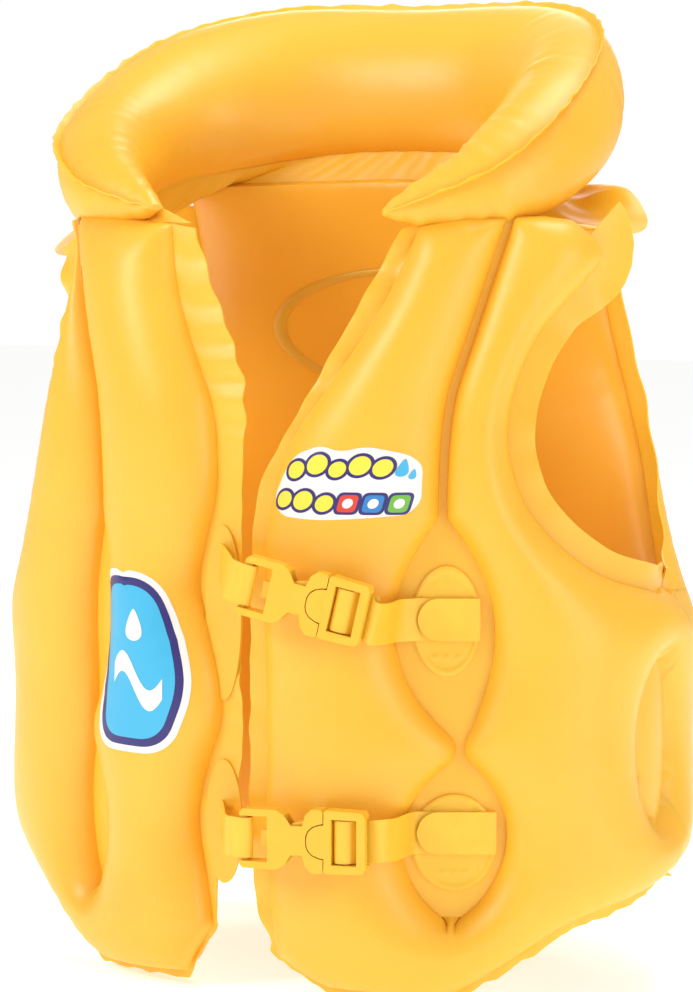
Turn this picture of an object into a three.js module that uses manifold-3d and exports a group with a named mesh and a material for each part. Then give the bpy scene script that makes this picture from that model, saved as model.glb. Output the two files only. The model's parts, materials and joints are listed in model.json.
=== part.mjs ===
// Child's inflatable swim vest: a welded vinyl body with a pillow collar, closed in front by two side-release
// buckles. Millimetres, +Z up, the wearer faces -Y, and the vest stands on its lower hem at z = 0.
// Girth angles are in degrees round the torso: 0 at the front, 90 at the wearer's left side, 180 at the spine.
import * as THREE from 'three';
import { mergeVertices } from 'three/addons/utils/BufferGeometryUtils.js';
import Module from 'manifold-3d';

const wasm = await Module();
wasm.setup();

// ---- Driving dimensions ----
const torsoHalfWidth = 150;
const torsoHalfDepth = 97;
const sideBulge = 15;            // extra half width at the sides
const bodyHeight = 382;          // top weld of the front chambers
const backHeight = 400;          // top weld of the back chambers
const collarTop = 486;           // outer seam of the collar at the spine
const filmPair = 1.0;            // two welded films
const outerPuff = 4.3;           // outward swell, mm per root mm of distance from a weld
const innerPuff = 3.3;
const weldHalfAngle = 0.9;       // half the width of a weld line, in degrees of girth
const sideAngle = 97;            // where front and back chambers meet below the arms
const sideGap = 0.4;             // half the gap between them, in degrees
const spineGap = 0.5;
const leanFrom = 285;            // above this height the panels lean in over the shoulders
const frontLean = 0.12;
const backLean = 0.34;
const hemWidth = 14;             // loose film beyond the armhole weld
const spineAxisDepth = torsoHalfDepth + 43;  // the fold that the vest opens about, just behind the collar
const collarGap = 0.7;           // between the collar and the film it is welded to

const strapWidth = 20;
const strapThick = 0.8;
const buckleWidth = 30;
const buckleThick = 8.4;
const socketLength = 40.5;
const clipLength = 20;
const buckleFit = 0.4;           // sliding clearance across the buckle
const buckleRoom = 0.9;          // clearance through its thickness, for the swing of the opening vest
const armLength = 17;
const armTaper = 0.25;           // inward slope of an arm, so a tilted clip leaves its socket as the vest opens
const buckleStandOff = 27.5;     // of a buckle's middle, in front of the torso's middle surface
const upperBuckle = { x: 52, y: -(torsoHalfDepth + buckleStandOff), z: 203, tilt: -13 };
const lowerBuckle = { x: 52, y: -(torsoHalfDepth + buckleStandOff), z: 93, tilt: 0 };

const valveFlange = 13;
const valveBore = 3.6;
const valveStemRadius = 5.5;
const valveStemLength = 14;
const pocketRadius = 7.4;
const pocketDepth = 17;
const touchGap = 0.4;

const vinylYellow = new THREE.MeshStandardMaterial({ color: 0xf7c234, roughness: 0.42, metalness: 0 });
const strapYellow = new THREE.MeshStandardMaterial({ color: 0xf6d23c, roughness: 0.5, metalness: 0 });
const clearVinyl = new THREE.MeshStandardMaterial({ color: 0xf3cf6a, roughness: 0.3, metalness: 0 });

const rad = THREE.MathUtils.degToRad;
const vest = new THREE.Group();

function addMesh(name, geometry, material, parent = vest) {
  const mesh = new THREE.Mesh(geometry, material);
  mesh.name = name;
  parent.add(mesh);
  return mesh;
}

// ---- Solids from grids, rings and booleans ----
function solidFrom(points, triangles) {
  let volume = 0;
  for (let t = 0; t < triangles.length; t += 3) {
    const [a, b, c] = triangles.slice(t, t + 3).map((i) => points[i]);
    volume += a.dot(b.clone().cross(c));
  }
  return new THREE.BufferGeometry()
    .setAttribute('position', new THREE.Float32BufferAttribute(points.flatMap((p) => [p.x, p.y, p.z]), 3))
    .setIndex(volume < 0 ? [...triangles].reverse() : triangles);
}

// Two matching grids of points, outer and inner, closed by a rim. Columns run round the girth and rows run up.
function sheetSolid(outer, inner) {
  const columns = outer.length;
  const rows = outer[0].length;
  const id = (side, i, j) => side * columns * rows + i * rows + j;
  const triangles = [];
  const quad = (a, b, c, d) => triangles.push(a, b, c, a, c, d);
  for (let i = 0; i < columns - 1; i++) {
    for (let j = 0; j < rows - 1; j++) {
      quad(id(0, i, j), id(0, i + 1, j), id(0, i + 1, j + 1), id(0, i, j + 1));
      quad(id(1, i, j), id(1, i, j + 1), id(1, i + 1, j + 1), id(1, i + 1, j));
    }
    quad(id(1, i, 0), id(1, i + 1, 0), id(0, i + 1, 0), id(0, i, 0));
    quad(id(0, i, rows - 1), id(0, i + 1, rows - 1), id(1, i + 1, rows - 1), id(1, i, rows - 1));
  }
  for (let j = 0; j < rows - 1; j++) {
    quad(id(0, 0, j), id(0, 0, j + 1), id(1, 0, j + 1), id(1, 0, j));
    quad(id(0, columns - 1, j), id(1, columns - 1, j), id(1, columns - 1, j + 1), id(0, columns - 1, j + 1));
  }
  return solidFrom([...outer.flat(), ...inner.flat()], triangles);
}

// Closed rings of points, one after another, with a flat cap at each end.
function ringSolid(rings) {
  const n = rings[0].length;
  const triangles = [];
  for (let k = 0; k < rings.length - 1; k++) {
    for (let i = 0; i < n; i++) {
      const a = k * n + i;
      const b = k * n + ((i + 1) % n);
      triangles.push(a, b, b + n, a, b + n, a + n);
    }
  }
  const last = (rings.length - 1) * n;
  for (let i = 1; i < n - 1; i++) {
    triangles.push(0, i + 1, i);
    triangles.push(last, last + i, last + i + 1);
  }
  return solidFrom(rings.flat(), triangles);
}

function toManifold(geometry) {
  const bare = geometry.clone();
  bare.deleteAttribute('normal');
  bare.deleteAttribute('uv');
  const merged = mergeVertices(bare, 1e-4);
  return new wasm.Manifold(new wasm.Mesh({
    numProp: 3,
    vertProperties: new Float32Array(merged.attributes.position.array),
    triVerts: new Uint32Array(merged.index.array),
  }));
}

function fromManifold(solid) {
  const mesh = solid.getMesh();
  return new THREE.BufferGeometry()
    .setAttribute('position', new THREE.BufferAttribute(new Float32Array(mesh.vertProperties), 3))
    .setIndex(new THREE.BufferAttribute(new Uint32Array(mesh.triVerts), 1));
}

function joined(first, ...others) {
  return fromManifold(others.reduce((sum, g) => sum.add(toManifold(g)), toManifold(first)));
}

function cut(body, ...tools) {
  return fromManifold(tools.reduce((rest, g) => rest.subtract(toManifold(g)), toManifold(body)));
}

function plate(outline, holes, from, to) {
  const shape = new THREE.Shape(outline.map(([u, v]) => new THREE.Vector2(u, v)));
  shape.holes = holes.map((hole) => new THREE.Path(hole.map(([u, v]) => new THREE.Vector2(u, v))));
  return new THREE.ExtrudeGeometry(shape, { depth: to - from, bevelEnabled: false }).translate(0, 0, from);
}

const rectangle = (u0, u1, v0, v1) => [[u0, v0], [u1, v0], [u1, v1], [u0, v1]];

// ---- The body's middle surface ----
// A point on the torso at a girth angle and height, moved out along the surface normal.
function onTorso(angle, height, out = 0) {
  const c = Math.cos(rad(angle));
  const s = Math.sin(rad(angle));
  const rise = Math.max(0, height - leanFrom) / (bodyHeight - leanFrom);
  const lean = 1 - (c > 0 ? frontLean : backLean) * rise * rise;
  const normal = new THREE.Vector3(torsoHalfDepth * s, -(torsoHalfWidth + 3 * sideBulge * s * s) * c, 0).normalize();
  return new THREE.Vector3((torsoHalfWidth + sideBulge * s * s) * s, -torsoHalfDepth * lean * c, height)
    .addScaledVector(normal, out);
}

function mmPerDegree(angle) {
  const c = Math.cos(rad(angle));
  const s = Math.sin(rad(angle));
  return rad(1) * Math.hypot((torsoHalfWidth + 3 * sideBulge * s * s) * c, torsoHalfDepth * s);
}

// A smooth line through [angle, height] points, sampled evenly along its length.
const girthScale = 2.3;          // mm per degree, so that even steps are even on the film
function girthLine(points, count) {
  const curve = new THREE.SplineCurve(points.map(([a, z]) => new THREE.Vector2(a * girthScale, z)));
  return Array.from({ length: count + 1 }, (_, k) => {
    const p = curve.getPointAt(k / count);
    return [p.x / girthScale, p.y];
  });
}

// ---- Weld islands: film that stays flat between the swollen bays ----
const upperAlmond = { angle: 36.5, height: 188, halfHeight: 55, halfAngle: 9.3, blunt: 1 };
const lowerAlmond = { angle: 38, height: 90, halfHeight: 40, halfAngle: 9.8, blunt: 0.6 };
const sideSlot = { angle: 97.5, height: 133, halfAngle: 9, halfHeight: 42 };
const spineOval = { angle: 180, height: 316, halfAngle: 32, halfHeight: 34 };

// The weld between the two front bays, and how far its two edges stand apart at a height.
const bayWeld = [[37, 15], [37.5, 55], [38, 90], [39, 132], [36.8, 160], [36, 205], [35.7, 255], [37, 295],
  [41, 330], [47, bodyHeight]];
function almondHalf(height) {
  const open = [upperAlmond, lowerAlmond].map(({ height: z, halfHeight, halfAngle, blunt }) => {
    const k = 1 - ((height - z) / halfHeight) ** 2;
    return k > 0 ? halfAngle * k ** (height < z ? blunt : 1) : 0;
  });
  return Math.max(weldHalfAngle, ...open);
}
const almondFloor = lowerAlmond.height - lowerAlmond.halfHeight;

// Distance outside an oval island, in millimetres, negative inside.
function ovalDistance(island, angle, height) {
  const a = island.halfAngle * mmPerDegree(island.angle);
  const b = island.halfHeight;
  const x = (angle - island.angle) * mmPerDegree(island.angle);
  const z = height - island.height;
  const k = Math.hypot(x / a, z / b);
  return k < 1e-6 ? -Math.min(a, b) : ((k - 1) * k) / Math.hypot(x / a ** 2, z / b ** 2);
}

function lineDistance(p, line) {
  const segment = new THREE.Line3();
  const near = new THREE.Vector3();
  let best = Infinity;
  for (let k = 0; k < line.length - 1; k++) {
    segment.set(line[k], line[k + 1]).closestPointToPoint(p, true, near);
    best = Math.min(best, near.distanceTo(p));
  }
  return best;
}

// How far the films stand apart at a point: the root of a smooth least distance to every weld.
function swell(angle, height, welds, islands) {
  const p = onTorso(angle, height);
  const distances = [...welds.map((w) => lineDistance(p, w)), ...islands.map((i) => ovalDistance(i, angle, height))];
  if (Math.min(...distances) < 0.3) return 0;
  return Math.sqrt(distances.reduce((sum, d) => sum + d ** -3, 0) ** (-1 / 3));
}

// A chamber between columns of [angle, height] points, swollen away from its welds.
function chamber({ columns, welds, islands, flat }) {
  const at = (puff) => columns.map((column) => column.map(([a, z]) => {
    const out = flat(a, z) ? 0 : Math.abs(puff) * swell(Math.abs(a), z, welds, islands);
    return onTorso(a, z, Math.sign(puff) * (out + filmPair / 2));
  }));
  return sheetSolid(at(outerPuff), at(-innerPuff));
}

// Columns between two edge lines, closer together near each edge.
function columnsBetween(left, right, count) {
  return Array.from({ length: count - 1 }, (_, k) => {
    const t = (1 - Math.cos((Math.PI * (k + 1)) / count)) / 2;
    return left.map(([a, z], j) => [a + (right[j][0] - a) * t, z + (right[j][1] - z) * t]);
  });
}

const toFilm = (line) => line.map(([a, z]) => onTorso(a, z));
const mirrored = (columns) => columns.map((column) => column.map(([a, z]) => [-a, z])).reverse();

// ---- Front chambers ----
const rows = 20;
const armholeWeldFront = [[90, 202], [71.5, 212], [61, 229], [54.7, 249], [52.7, 273],
  [53.4, 296], [57, 320], [61, 336], [67, 351], [71, 362], [69, 370], [62, bodyHeight - 2]];
const frontEdgeLeft = [[5, 31], [3.2, 75], [3, 155], [3, 215], [6, 245], [12, 277], [18, 305], [25, 340],
  [30, bodyHeight - 4]];
const frontEdgeRight = [[11, 41], [13.5, 75], [13.5, 145], [11, 220], [8.5, 255], [8, 277], [9.5, 297], [13.5, 320],
  [18, 349], [20.5, bodyHeight - 4]];
const firstBayMiddle = [[15, 16], [17, 75], [17, 195], [20, 255], [26, 315], [34, 353], [38, bodyHeight]];
const secondBayMiddle = [[62, 49], [67, 125], [62, 195], [49, 240], [45, 275], [47, 315], [54, 358], [57, bodyHeight]];
const sideFront = [[sideAngle - sideGap, 66], [sideAngle - sideGap, 135], [sideAngle - sideGap, 198]];

function frontChamber(frontEdge) {
  const line = (points) => girthLine(points, rows);
  const edge = line(frontEdge);
  const bayLine = line(bayWeld);
  const first = line(firstBayMiddle);
  const second = line(secondBayMiddle);
  const side = line([...sideFront, ...armholeWeldFront]).map(([a, z]) => [Math.min(a, sideAngle - sideGap), z]);
  const near = bayLine.map(([a, z]) => [a - almondHalf(z), z]);
  const far = bayLine.map(([a, z]) => [a + almondHalf(z), z]);
  const columns = [edge, ...columnsBetween(edge, first, 2), first, ...columnsBetween(first, near, 3), near, bayLine,
    far, ...columnsBetween(far, second, 3), second, ...columnsBetween(second, side, 4), side];
  const aboveFloor = (weld) => weld.filter(([, z]) => z > almondFloor);
  const welds = [edge, side, aboveFloor(near), aboveFloor(far), columns.map((c) => c[0]), columns.map((c) => c[rows])];
  const flat = (a, z) => {
    const k = near.findIndex(([, h]) => h >= z - 1e-6);
    return z > almondFloor && k >= 0 && Math.abs(Math.abs(a) - (near[k][0] + far[k][0]) / 2) <= almondHalf(z) + 1e-3;
  };
  return { edge, side, columns, welds: welds.map(toFilm), islands: [sideSlot], flat };
}

const leftFront = frontChamber(frontEdgeLeft);
const rightFront = frontChamber(frontEdgeRight);
rightFront.columns = mirrored(rightFront.columns);
addMesh('front_left_chamber', chamber(leftFront), vinylYellow);
addMesh('front_right_chamber', chamber(rightFront), vinylYellow);

// ---- Back chambers ----
const spineAngle = 180 - spineGap / mmPerDegree(180) / 2;
const armholeWeldBack = [[103, 201], [110.5, 213], [116, 235], [121, 263], [127, 292], [132, 322], [134, 350],
  [135, backHeight - 3]];
const backTop = [[135, backHeight - 3], [150, backHeight], [spineAngle, backHeight]];
const backBottom = [[sideAngle + sideGap, 66], [110, 61], [126, 46], [142, 38], [151, 37], [165, 42],
  [spineAngle, 44]];

function backChamber() {
  const side = girthLine([[sideAngle + sideGap, 66], [sideAngle + sideGap, 135], [sideAngle + sideGap, 198],
    ...armholeWeldBack], rows).map(([a, z]) => [Math.max(a, sideAngle + sideGap), z]);
  const spine = girthLine([[spineAngle, 44], [spineAngle, backHeight]], rows);
  const columns = [side, ...columnsBetween(side, spine, 9), spine];
  columns.forEach((column, k) => {
    const t = k / (columns.length - 1);
    const [, floor] = new THREE.SplineCurve(backBottom.map(([a, z]) => new THREE.Vector2(a, z))).getPoint(t).toArray();
    const rise = floor - column[0][1];
    column.forEach((point, j) => { point[1] += rise * (1 - j / rows) ** 6; });
  });
  const welds = [side, columns.map((c) => c[0]), columns.map((c) => c[rows])];
  return { side, columns, welds: welds.map(toFilm), islands: [sideSlot, spineOval], flat: () => false };
}

const leftBack = backChamber();
const rightBack = { ...leftBack, columns: mirrored(leftBack.columns) };

// ---- Valves ----
// A valve is set in a pocket: a flange on the film, a stem pushed in flush, and a plug on a short hinge.
function framed(geometry, position, normal, up = new THREE.Vector3(0, 0, 1)) {
  const u = new THREE.Vector3().crossVectors(up, normal).normalize();
  const v = new THREE.Vector3().crossVectors(normal, u);
  return geometry.applyMatrix4(new THREE.Matrix4().makeBasis(u, v, normal).setPosition(position));
}

const turned = (profile) => new THREE.LatheGeometry(profile.map(([r, w]) => new THREE.Vector2(r, w)), 24)
  .rotateX(Math.PI / 2);
const disc = (radius, from, to) => new THREE.CylinderGeometry(radius, radius, to - from, 24)
  .rotateX(Math.PI / 2).translate(0, 0, (from + to) / 2);
const flangeTop = 1.4;
const stemTop = 1.7;
const plugPivot = { v: 7.2, w: 2.8 };

function addValve(name, place, body) {
  const pocket = framed(disc(pocketRadius, -pocketDepth, 12), place.position, place.normal);
  const seat = framed(disc(valveFlange + touchGap, 0, 12), place.position, place.normal);
  addMesh(`${name}_base`, framed(turned([[valveStemRadius + touchGap, touchGap], [valveFlange, touchGap],
    [valveFlange, flangeTop - 0.4], [valveFlange - 0.8, flangeTop], [valveStemRadius + touchGap, flangeTop],
    [valveStemRadius + touchGap, touchGap]]), place.position, place.normal), clearVinyl);
  addMesh(`${name}_stem`, framed(turned([[valveBore, -valveStemLength], [valveStemRadius, -valveStemLength],
    [valveStemRadius, stemTop], [valveBore, stemTop], [valveBore, -valveStemLength]]),
  place.position, place.normal), clearVinyl);
  const pin = disc(valveBore - touchGap, stemTop - 2.4, stemTop + 1.2);
  const cap = disc(valveStemRadius - 0.3, stemTop + touchGap, stemTop + touchGap + 1.4);
  const tongue = new THREE.BoxGeometry(4, plugPivot.v + 0.3 - 3, 1.4)
    .translate(0, -(plugPivot.v + 0.3 + 3) / 2, stemTop + touchGap + 0.7);
  addMesh(`${name}_plug`, framed(joined(pin, cap, tongue), place.position, place.normal), clearVinyl);
  return cut(body, pocket, seat);
}

// The place of a valve on a chamber's outer film.
function onChamber({ welds, islands }, angle, height) {
  const side = Math.sign(angle);
  const at = (a, z) => onTorso(side * a, z, outerPuff * swell(a, z, welds, islands) + filmPair / 2);
  const a = Math.abs(angle);
  const east = at(a + 1, height).sub(at(a - 1, height)).multiplyScalar(side);
  const north = at(a, height + 2).sub(at(a, height - 2));
  return { position: at(a, height), normal: new THREE.Vector3().crossVectors(east, north).normalize() };
}

const backValve = { angle: 148, height: 92 };
addMesh('back_left_chamber', addValve('back_left_valve',
  onChamber(leftBack, backValve.angle, backValve.height), chamber(leftBack)), vinylYellow);
addMesh('back_right_chamber', addValve('back_right_valve',
  onChamber(leftBack, -backValve.angle, backValve.height), chamber(rightBack)), vinylYellow);

// ---- Collar ----
// Each half is a pillow between an inner seam, on the neckline, and an outer seam, from the spine to a front tip.
// Its seams are drawn for a torso of the pattern's half width and half depth, and stretch with it.
const pattern = { halfWidth: 150, halfDepth: 97 };
const stretched = (points) => points.map(([x, y, z]) =>
  [(x * torsoHalfWidth) / pattern.halfWidth, (y * torsoHalfDepth) / pattern.halfDepth, z]);
const collarInner = stretched([[0, 62, 414], [46, 56, 412], [84, 32, 405], [100, -3, 400], [91, -42, 394],
  [60, -76, 390]]);
const collarOuter = (corner) => stretched([[0, 90, collarTop], [78, 80, collarTop - 2],
  [129, 38, (collarTop + corner) / 2 + 8], [147, -22, corner], [116, -64, (corner + 390) / 2 - 2], [65, -82, 391]]);
const collarPuff = [27, 28, 30, 30, 22, 1.2];
const underPuff = 0.7;           // the collar is flatter on its underside
const curve3 = (points) => new THREE.CatmullRomCurve3(points.map((p) => new THREE.Vector3(...p)), false, 'centripetal');
const puffCurve = new THREE.SplineCurve(collarPuff.map((h, k) => new THREE.Vector2(k / (collarPuff.length - 1), h)));

// A point of the collar: s runs from the spine to the tip, and turn goes round the section from the outer seam.
function collarPoint(corner, s, turn) {
  const inner = curve3(collarInner).getPoint(s);
  const outer = curve3(collarOuter(corner)).getPoint(s);
  const across = outer.clone().sub(inner);
  const along = curve3(collarOuter(corner)).getTangent(s).add(curve3(collarInner).getTangent(s));
  const lift = new THREE.Vector3().crossVectors(across, along).normalize();
  const height = puffCurve.getPoint(s).y * (Math.sin(turn) < 0 ? underPuff : 1);
  return inner.add(outer).multiplyScalar(0.5).addScaledVector(across, Math.cos(turn) / 2)
    .addScaledVector(lift, -height * Math.sin(turn));
}

function collarHalf(corner, side) {
  const sections = 18;
  const around = 20;
  const rings = Array.from({ length: sections + 1 }, (_, k) => Array.from({ length: around }, (_, i) => {
    const p = collarPoint(corner, k / sections, (2 * Math.PI * i) / around);
    p.x = side * Math.max(p.x, 0);
    if (k === 0) p.x = 0;
    p.x += (side * spineGap) / 2;
    return p;
  }));
  return ringSolid(rings);
}

const cornerLeft = 440;
const cornerRight = 424;
const collarValveAt = { s: 0.26, turn: 1.4 * Math.PI };
function onCollar(corner, side) {
  const { s, turn } = collarValveAt;
  const at = (ds, dt) => collarPoint(corner, s + ds, turn + dt);
  const position = at(0, 0);
  const normal = new THREE.Vector3().crossVectors(at(0, 0.05).sub(at(0, -0.05)), at(0.01, 0).sub(at(-0.01, 0)))
    .normalize();
  const middle = curve3(collarInner).getPoint(s).add(curve3(collarOuter(corner)).getPoint(s)).multiplyScalar(0.5);
  if (normal.dot(position.clone().sub(middle)) < 0) normal.negate();
  const flip = new THREE.Vector3(side, 1, 1);
  return { position: position.multiply(flip), normal: normal.multiply(flip) };
}
addMesh('collar_left', collarHalf(cornerLeft, 1), vinylYellow);
addMesh('collar_right', addValve('collar_valve', onCollar(cornerRight, -1), collarHalf(cornerRight, -1)), vinylYellow);

// ---- Loose film: hems, and the yoke that joins the collar to the body ----
// A sheet of even thickness over a grid of points.
function film(grid, thick) {
  const last = grid.length - 1;
  const end = grid[0].length - 1;
  const lift = (i, j) => new THREE.Vector3().crossVectors(
    grid[Math.min(i + 1, last)][j].clone().sub(grid[Math.max(i - 1, 0)][j]),
    grid[i][Math.min(j + 1, end)].clone().sub(grid[i][Math.max(j - 1, 0)])).setLength(thick / 2);
  const side = (sign) => grid.map((column, i) => column.map((p, j) => p.clone().addScaledVector(lift(i, j), sign)));
  return sheetSolid(side(1), side(-1));
}

const flipped = (grid) => grid.map((column) => column.map((p) => new THREE.Vector3(-p.x, p.y, p.z)));

// A strip of film between two girth lines with the same number of points.
function hemStrip(inner, outer, across, wave = () => 0) {
  return inner.map(([a, z], k) => Array.from({ length: across + 1 }, (_, j) => {
    const t = j / across;
    return onTorso(a + (outer[k][0] - a) * t, z + (outer[k][1] - z) * t, wave(k, t));
  }));
}

// A girth line moved sideways by a distance, to its left as it runs.
function sideways(line, distance) {
  return line.map(([a, z], k) => {
    const [a0, z0] = line[Math.max(k - 1, 0)];
    const [a1, z1] = line[Math.min(k + 1, line.length - 1)];
    const run = new THREE.Vector2((a1 - a0) * mmPerDegree(a), z1 - z0).setLength(distance);
    return [a - run.y / mmPerDegree(a), z + run.x];
  });
}

const weldGap = 1.4;             // between a chamber's weld and the hem beyond it
const leftHemEdge = [[3.2, 35], [0.2, 57], [-0.8, 95], [-0.8, 167], [-0.4, 215], [0.3, 244], [2.7, 263], [8.2, 287],
  [14, 313], [21, 347], [26.5, bodyHeight - 6]];
const rightHemEdge = [[9, 45], [9.5, 68], [6.5, 85], [3.2, 114], [2.6, 138], [3.2, 176], [2.6, 215], [2.4, 258],
  [1.9, 296], [4.5, 320], [10, 349], [15, bodyHeight - 6]];
const leftHem = hemStrip(sideways(leftFront.edge, weldGap), girthLine(leftHemEdge, rows), 2);
const rightHem = hemStrip(sideways(rightFront.edge, weldGap), girthLine(rightHemEdge, rows), 3);
addMesh('front_left_hem', film(leftHem, filmPair), vinylYellow);
addMesh('front_right_hem', film(flipped(rightHem), filmPair), vinylYellow);

const ruffleHeight = 2.6;
const ruffleLength = 31;
function armholeHem(front) {
  const overArm = (line) => line.filter(([, z]) => z > 198.5 && z < bodyHeight - 12);
  const weld = girthLine([...overArm(front.side).reverse(), [sideAngle, 199], ...overArm(leftBack.side)], 44);
  const wave = (k, t) => ruffleHeight * t * Math.sin((k * 12 * 2 * Math.PI) / ruffleLength);
  return hemStrip(sideways(weld, weldGap), sideways(weld, hemWidth), 2, wave);
}
addMesh('armhole_hem_left', film(armholeHem(leftFront), filmPair), vinylYellow);
addMesh('armhole_hem_right', film(flipped(armholeHem(rightFront)), filmPair), vinylYellow);

function yoke(frontAngle, corner, sag) {
  const steps = 28;
  const seam = curve3(collarInner);
  const outer = curve3(collarOuter(corner));
  const low = curve3([...[frontAngle, 46, 62].map((a) => onTorso(a, bodyHeight + collarGap + 0.3)),
    onTorso(78, 374), onTorso(98, 386 - sag / 2), onTorso(120, 395),
    ...[137, 152, 168, spineAngle].map((a) => onTorso(a, backHeight + collarGap + 0.3))].map((p) => p.toArray()));
  return Array.from({ length: steps + 1 }, (_, k) => {
    const s = 0.98 * (1 - k / steps) ** 0.9;
    const p = seam.getPoint(s);
    const top = p.clone().addScaledVector(p.clone().sub(outer.getPoint(s)).normalize(), collarGap + filmPair / 2);
    top.x = Math.max(top.x, spineGap / 2);
    const foot = low.getPoint(k / steps);
    const drop = sag * THREE.MathUtils.smoothstep(s, 0.26, 0.56) * Math.min(1, 9 * (1 - s));
    return [0, 0.4, 0.7, 0.9, 1].map((t) => foot.clone().lerp(top, t).setZ(
      foot.z + (top.z - foot.z) * t - drop * t ** 3 * (1 - t) * 5));
  });
}
addMesh('yoke_left', film(yoke(30, cornerLeft, 12), filmPair), vinylYellow);
addMesh('yoke_right', film(flipped(yoke(21, cornerRight, 22)), filmPair), vinylYellow);

// ---- Straps, their patches and the tabs that carry the sockets ----
function ovalSheet(angle, height, halfWidth, halfHeight, out) {
  const columns = 14;
  const grid = Array.from({ length: columns + 1 }, (_, i) => {
    const u = -0.985 * Math.cos((Math.PI * i) / columns);
    const reach = halfHeight * Math.sqrt(1 - u * u);
    return Array.from({ length: 5 }, (_, j) => onTorso(angle + (u * halfWidth) / mmPerDegree(angle),
      height + reach * (j / 2 - 1), out + filmPair / 2));
  });
  return film(grid, filmPair);
}

// A flat band along a path, each point given with the direction across it and its half width.
function band(stations, thick) {
  const grid = stations.map(({ p, across, half }) =>
    [-1, 1].map((side) => p.clone().addScaledVector(across, side * half)));
  return film(grid, thick);
}

function buckleFrame({ x, y, z, tilt }) {
  const radial = new THREE.Vector3(x, y - spineAxisDepth, 0).normalize();
  const level = new THREE.Vector3(-radial.y, radial.x, 0);
  const u = level.clone().multiplyScalar(Math.cos(rad(tilt))).setZ(Math.sin(rad(tilt)));
  const v = new THREE.Vector3().crossVectors(radial, u);
  return { u, v, w: radial, matrix: new THREE.Matrix4().makeBasis(u, v, radial).setPosition(x, y, z) };
}

const patchOut = filmPair / 2 + 0.45;
const strapHalf = strapWidth / 2;
const roundEnd = (d, half) => (d < half ? Math.max(0.25 * half, Math.sqrt(half * half - (half - d) ** 2)) : half);

function strap(buckle, patch, level) {
  const { v, matrix } = buckleFrame(buckle);
  const local = (u, w) => new THREE.Vector3(u, 0, w).applyMatrix4(matrix);
  const up = new THREE.Vector3(0, 0, 1);
  const onPatch = (offset, out) => onTorso(patch.angle + offset / mmPerDegree(patch.angle), level, patchOut + out);
  const first = filmPair + 0.7 + strapThick / 2;
  const second = first + strapThick + 0.5;
  const near = -patch.halfWidth + 2;
  const far = patch.halfWidth - 1.5;
  const path = [
    ...[[24, -3.1], [9, -3.1], [6, -2.6], [4.9, -1.3], [4.9, 0.8], [6, 2.3], [8.5, 2.6], [11.5, 2.3], [13.3, 1],
      [14.4, -0.6], [16.5, -1.5], [20, -1.7]].map(([u, w]) => local(u, w)),
    onTorso(patch.angle - 11.2, level + 1, 32.5), onTorso(patch.angle - 9.6, level, 22),
    onTorso(patch.angle - 8.3, level, 10), onPatch(near, first + 1.4), onPatch(near + 5, first),
    onPatch(0, first), onPatch(far - 1, first), onPatch(far + 0.4, (first + second) / 2), onPatch(far - 1, second),
    onPatch(0, second), onPatch(near + 7, second),
  ];
  const curve = new THREE.CatmullRomCurve3(path, false, 'centripetal');
  const length = curve.getLength();
  const steps = 64;
  return band(Array.from({ length: steps + 1 }, (_, k) => {
    const t = k / steps;
    const across = v.clone().lerp(up, THREE.MathUtils.smoothstep(t, 0.35, 0.6)).normalize();
    return { p: curve.getPointAt(t), across, half: roundEnd((1 - t) * length, strapHalf) };
  }), strapThick);
}

function tabPatch(buckle, height, halfHeight) {
  const { v, matrix } = buckleFrame(buckle);
  const local = (u, w) => new THREE.Vector3(u, 0, w).applyMatrix4(matrix);
  const start = new THREE.Vector3(-socketLength - 20, 0, 0).applyMatrix4(matrix).z;
  const curve = new THREE.CatmullRomCurve3([onTorso(-8, start, patchOut + 0.6), onTorso(-6.5, start, patchOut + 1.2),
    ...[[-50, -4.5], [-44.5, 0.8], [-41.5, 2.5], [-38.5, 2.8], [-36.2, 2], [-35.6, 0], [-36.2, -2], [-38.5, -2.8],
      [-43, -3.4]].map(([u, w]) => local(u, w))], false, 'centripetal');
  const up = new THREE.Vector3(0, 0, 1);
  const steps = 36;
  const tab = band(Array.from({ length: steps + 1 }, (_, k) => ({
    p: curve.getPointAt(k / steps),
    across: up.clone().lerp(v, Math.min(1, (2 * k) / steps)).normalize(),
    half: strapHalf - 0.6,
  })), strapThick);
  return joined(ovalSheet(-6.2, height, 10, halfHeight, patchOut), tab);
}

const upperPatch = { angle: 36.5, height: 193, halfWidth: 16, halfHeight: 26 };
const lowerPatch = { angle: 38, height: 88, halfWidth: 20, halfHeight: 23 };
[['upper', upperBuckle, upperPatch, 194, 193, 42], ['lower', lowerBuckle, lowerPatch, 93, 92, 30]].forEach(
  ([name, buckle, patch, level, tabHeight, tabHalf]) => {
    addMesh(`${name}_strap_patch`, ovalSheet(patch.angle, patch.height, patch.halfWidth, patch.halfHeight, patchOut),
      strapYellow);
    addMesh(`${name}_strap`, strap(buckle, patch, level), strapYellow);
    addMesh(`${name}_tab_patch`, tabPatch(buckle, tabHeight, tabHalf), strapYellow);
  });

// ---- Side-release buckles, each laid along the circle that the vest opens on ----
const half = buckleThick / 2;
const armThick = 4.6;
const bothSides = (points) => [...points, ...points.map(([u, v]) => [u, -v]).reverse()];
const mouthHalf = buckleWidth / 2 - 3.4;
const tongueEdge = [[1, 8], [-2, 7.6], [-5, 6.4], [-7, 4.4], [-7.9, 2]];
const mouthEdge = [[0, 8.5], [-2.2, 8.05], [-5.3, 6.8], [-7.4, 4.7], [-8.4, 2.1]];

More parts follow.
